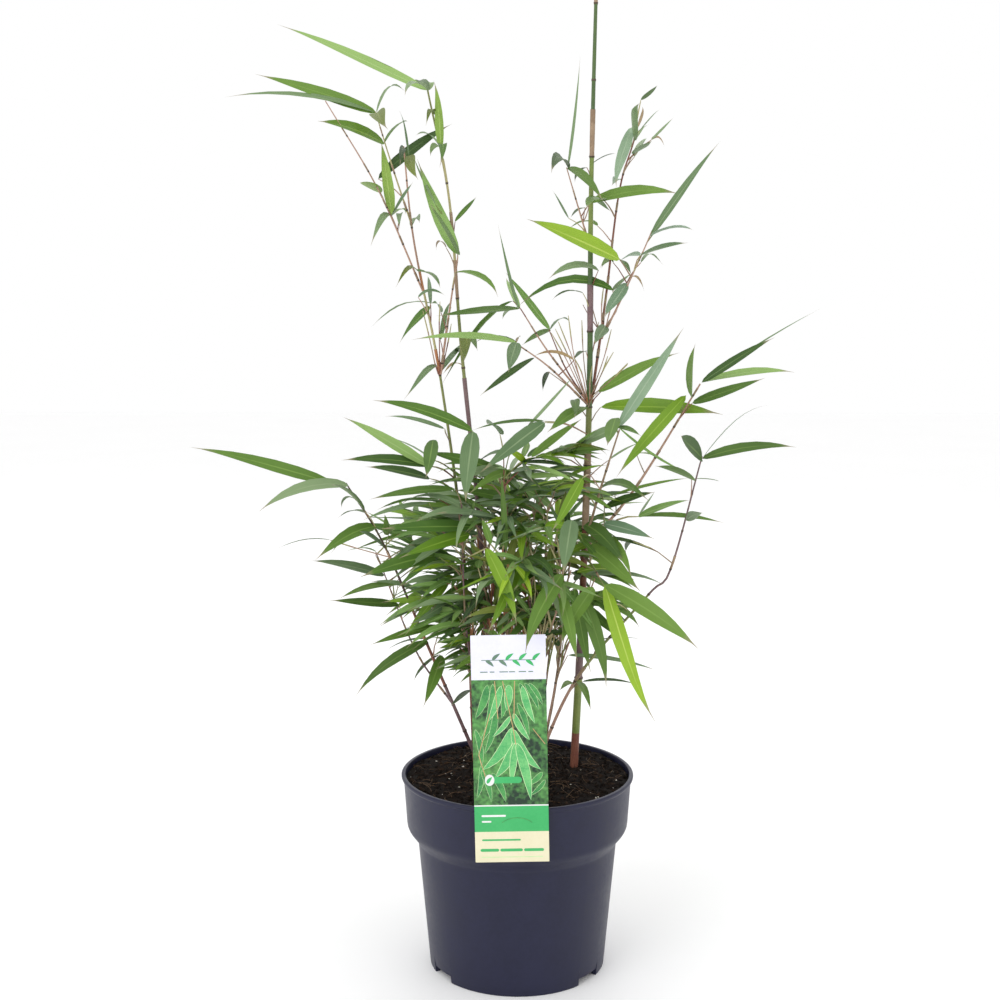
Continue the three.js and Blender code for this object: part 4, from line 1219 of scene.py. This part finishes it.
def grow_thickets(marks):
    """Each seeded heart gets a twig from the nearest limb and three to five leaves, fanned
    about the way that leads out of the crown."""
    for middle, room, count, lengths, lean, rise in THICKETS:
        for _ in range(count):
            spot = random.normal(0, 1, 3)
            spot = unit(spot) * random.random() ** 0.45
            heart = np.array(middle) + spot * room
            joint, gap = joint_for(heart, marks)
            if gap > FAR_OUT:
                heart = joint + (heart - joint) * 0.6
            twig(joint, heart, random.uniform(0.5, 0.8), random.uniform(0.05, 0.16))
            out = np.array([heart[0] * 0.9, heart[1] - 10, 0])
            out = unit(out + random.normal(0, 14, 3) * (1, 1, 0))
            if lean is not None:
                out = unit(out + np.array([*lean, 0]) * 1.2)
            heading = math.atan2(out[1], out[0]) + random.normal(0, 0.25)
            leaves = int(random.integers(3, 6))
            for i in range(leaves):
                swing = (i - (leaves - 1) / 2) * random.uniform(0.34, 0.6) + random.normal(0, 0.12)
                pitch = rise + random.normal(0.02, 0.24)
                length = random.uniform(*lengths) * (1 - 0.12 * abs(i - (leaves - 1) / 2))
                turn = heading + swing
                way = np.array([math.cos(turn) * math.cos(pitch), math.sin(turn) * math.cos(pitch),
                                math.sin(pitch)])
                start = heart - out * (3 * i)
                tint = str(random.choice(THICKET_TINTS, p=THICKET_SHARES))
                facing = unit(np.array([0, -0.45 if heart[1] < 40 else 0.35, 0.8])
                              + random.normal(0, 0.3, 3))
                width = (0.05 + 0.07 * random.random()) * length + 2.2
                add_leaf(start, way * length, width, random.uniform(-0.01, 0.12), tint,
                         facing, random.normal(0, 0.5), random.normal(0, 0.09))


TANGLED = 250


def tangle(marks):
    """Bare twigs, old sheaths and small leaves crowd the thin culms under the foliage:
    green and straw to the right, orange and red to the left."""
    near = marks[(np.abs(marks[:, 0] + 2) < 38) & (marks[:, 2] > 232) & (marks[:, 2] < 325)]
    for start in near[random.integers(0, len(near), TANGLED)]:
        end = start + random.normal(0, 1, 3) * (11, 9, 5) + (0, -7, random.uniform(14, 52))
        looks = ("olive straw tan pink" if end[0] > 8 else "orange orange red tan").split()
        twig(start, end, random.uniform(0.5, 1.0), 0.06, str(random.choice(looks)))
        if random.random() < 0.75:
            reach = random.normal(0, 1, 3) * (14, 12, 16)
            tint = str(random.choice(["mid", "deep", "olive", "dark", "pale"]))
            add_leaf(end, reach, random.uniform(3, 6.5), 0.05, tint, unit(np.array([0, -0.7, 0.7])))


def node_fan(node, count, bud, spread, rise):
    """At a branching node, thin twigs fan out from short orange buds."""
    for i in range(count):
        turn = i * GOLDEN
        out = np.array([math.cos(turn), 0.7 * math.sin(turn), 0])
        foot = node + out * 0.6
        top = foot + out * random.uniform(1.6, 4) + UP * bud * random.uniform(0.6, 1.1)
        twig(foot, top, 1.0, 0.0, "orange" if i % 2 else "red", False)
        end = top + out * random.uniform(0.35, 1) * spread + UP * random.uniform(0.35, 1) * rise
        twig(top, end, 0.5, 0.03, str(random.choice(["pink", "red", "tan"])))


# ------------------------------------------------------------------ the scene
camera()
soft_light("key", (-1.5, -1.8, 1.9), 20)
soft_light("fill", (1.7, -1.4, 1.2), 4)
soft_light("back", (0.3, 1.8, 1.7), 6)
scene.world = bpy.data.worlds.new("studio")
scene.world.use_nodes = True
sky = scene.world.node_tree.nodes["Background"].inputs
sky["Color"].default_value = (1, 1, 1, 1)
sky["Strength"].default_value = 1.0

floor_mesh = bpy.data.meshes.new("floor")
floor_mesh.from_pydata([(-6, -6, 0), (6, -6, 0), (6, 6, 0), (-6, 6, 0)], [], [(0, 1, 2, 3)])
floor = bpy.data.objects.new("floor", floor_mesh)
scene.collection.objects.link(floor)
floor_mesh.materials.append(
    mottled("floor_paint", (254, 254, 254), (252, 252, 252), 3, 0.5, 0.7, 0.0, 0.0001)
)

pot_piece()
soil_pieces()
label_pieces()
culm_materials = culm_finishes()
cane_pieces(culm_materials)
bough_pieces(culm_materials)
clump_piece(culm_materials)
all_marks = np.vstack(limb_marks)
grow_sprays(all_marks)
grow_thickets(all_marks)
node_fan(np.array([57, 8.4, 459]), 13, 10, 34, 66)
node_fan(np.array([-62.6, 11.7, 485]), 6, 12, 12, 62)
node_fan(np.array([66.6, 18, 513]), 5, 8, 14, 44)
tangle(all_marks)
twig_piece = twigs.piece("twigs", culm_materials, 50)
mass_nodes = sorted(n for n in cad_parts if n.startswith(("leaves_", "spray_")))
for leaf_tint, leaf_list in leaf_rows.items():
    leaf_piece(leaf_tint, leaf_list, mass_nodes)
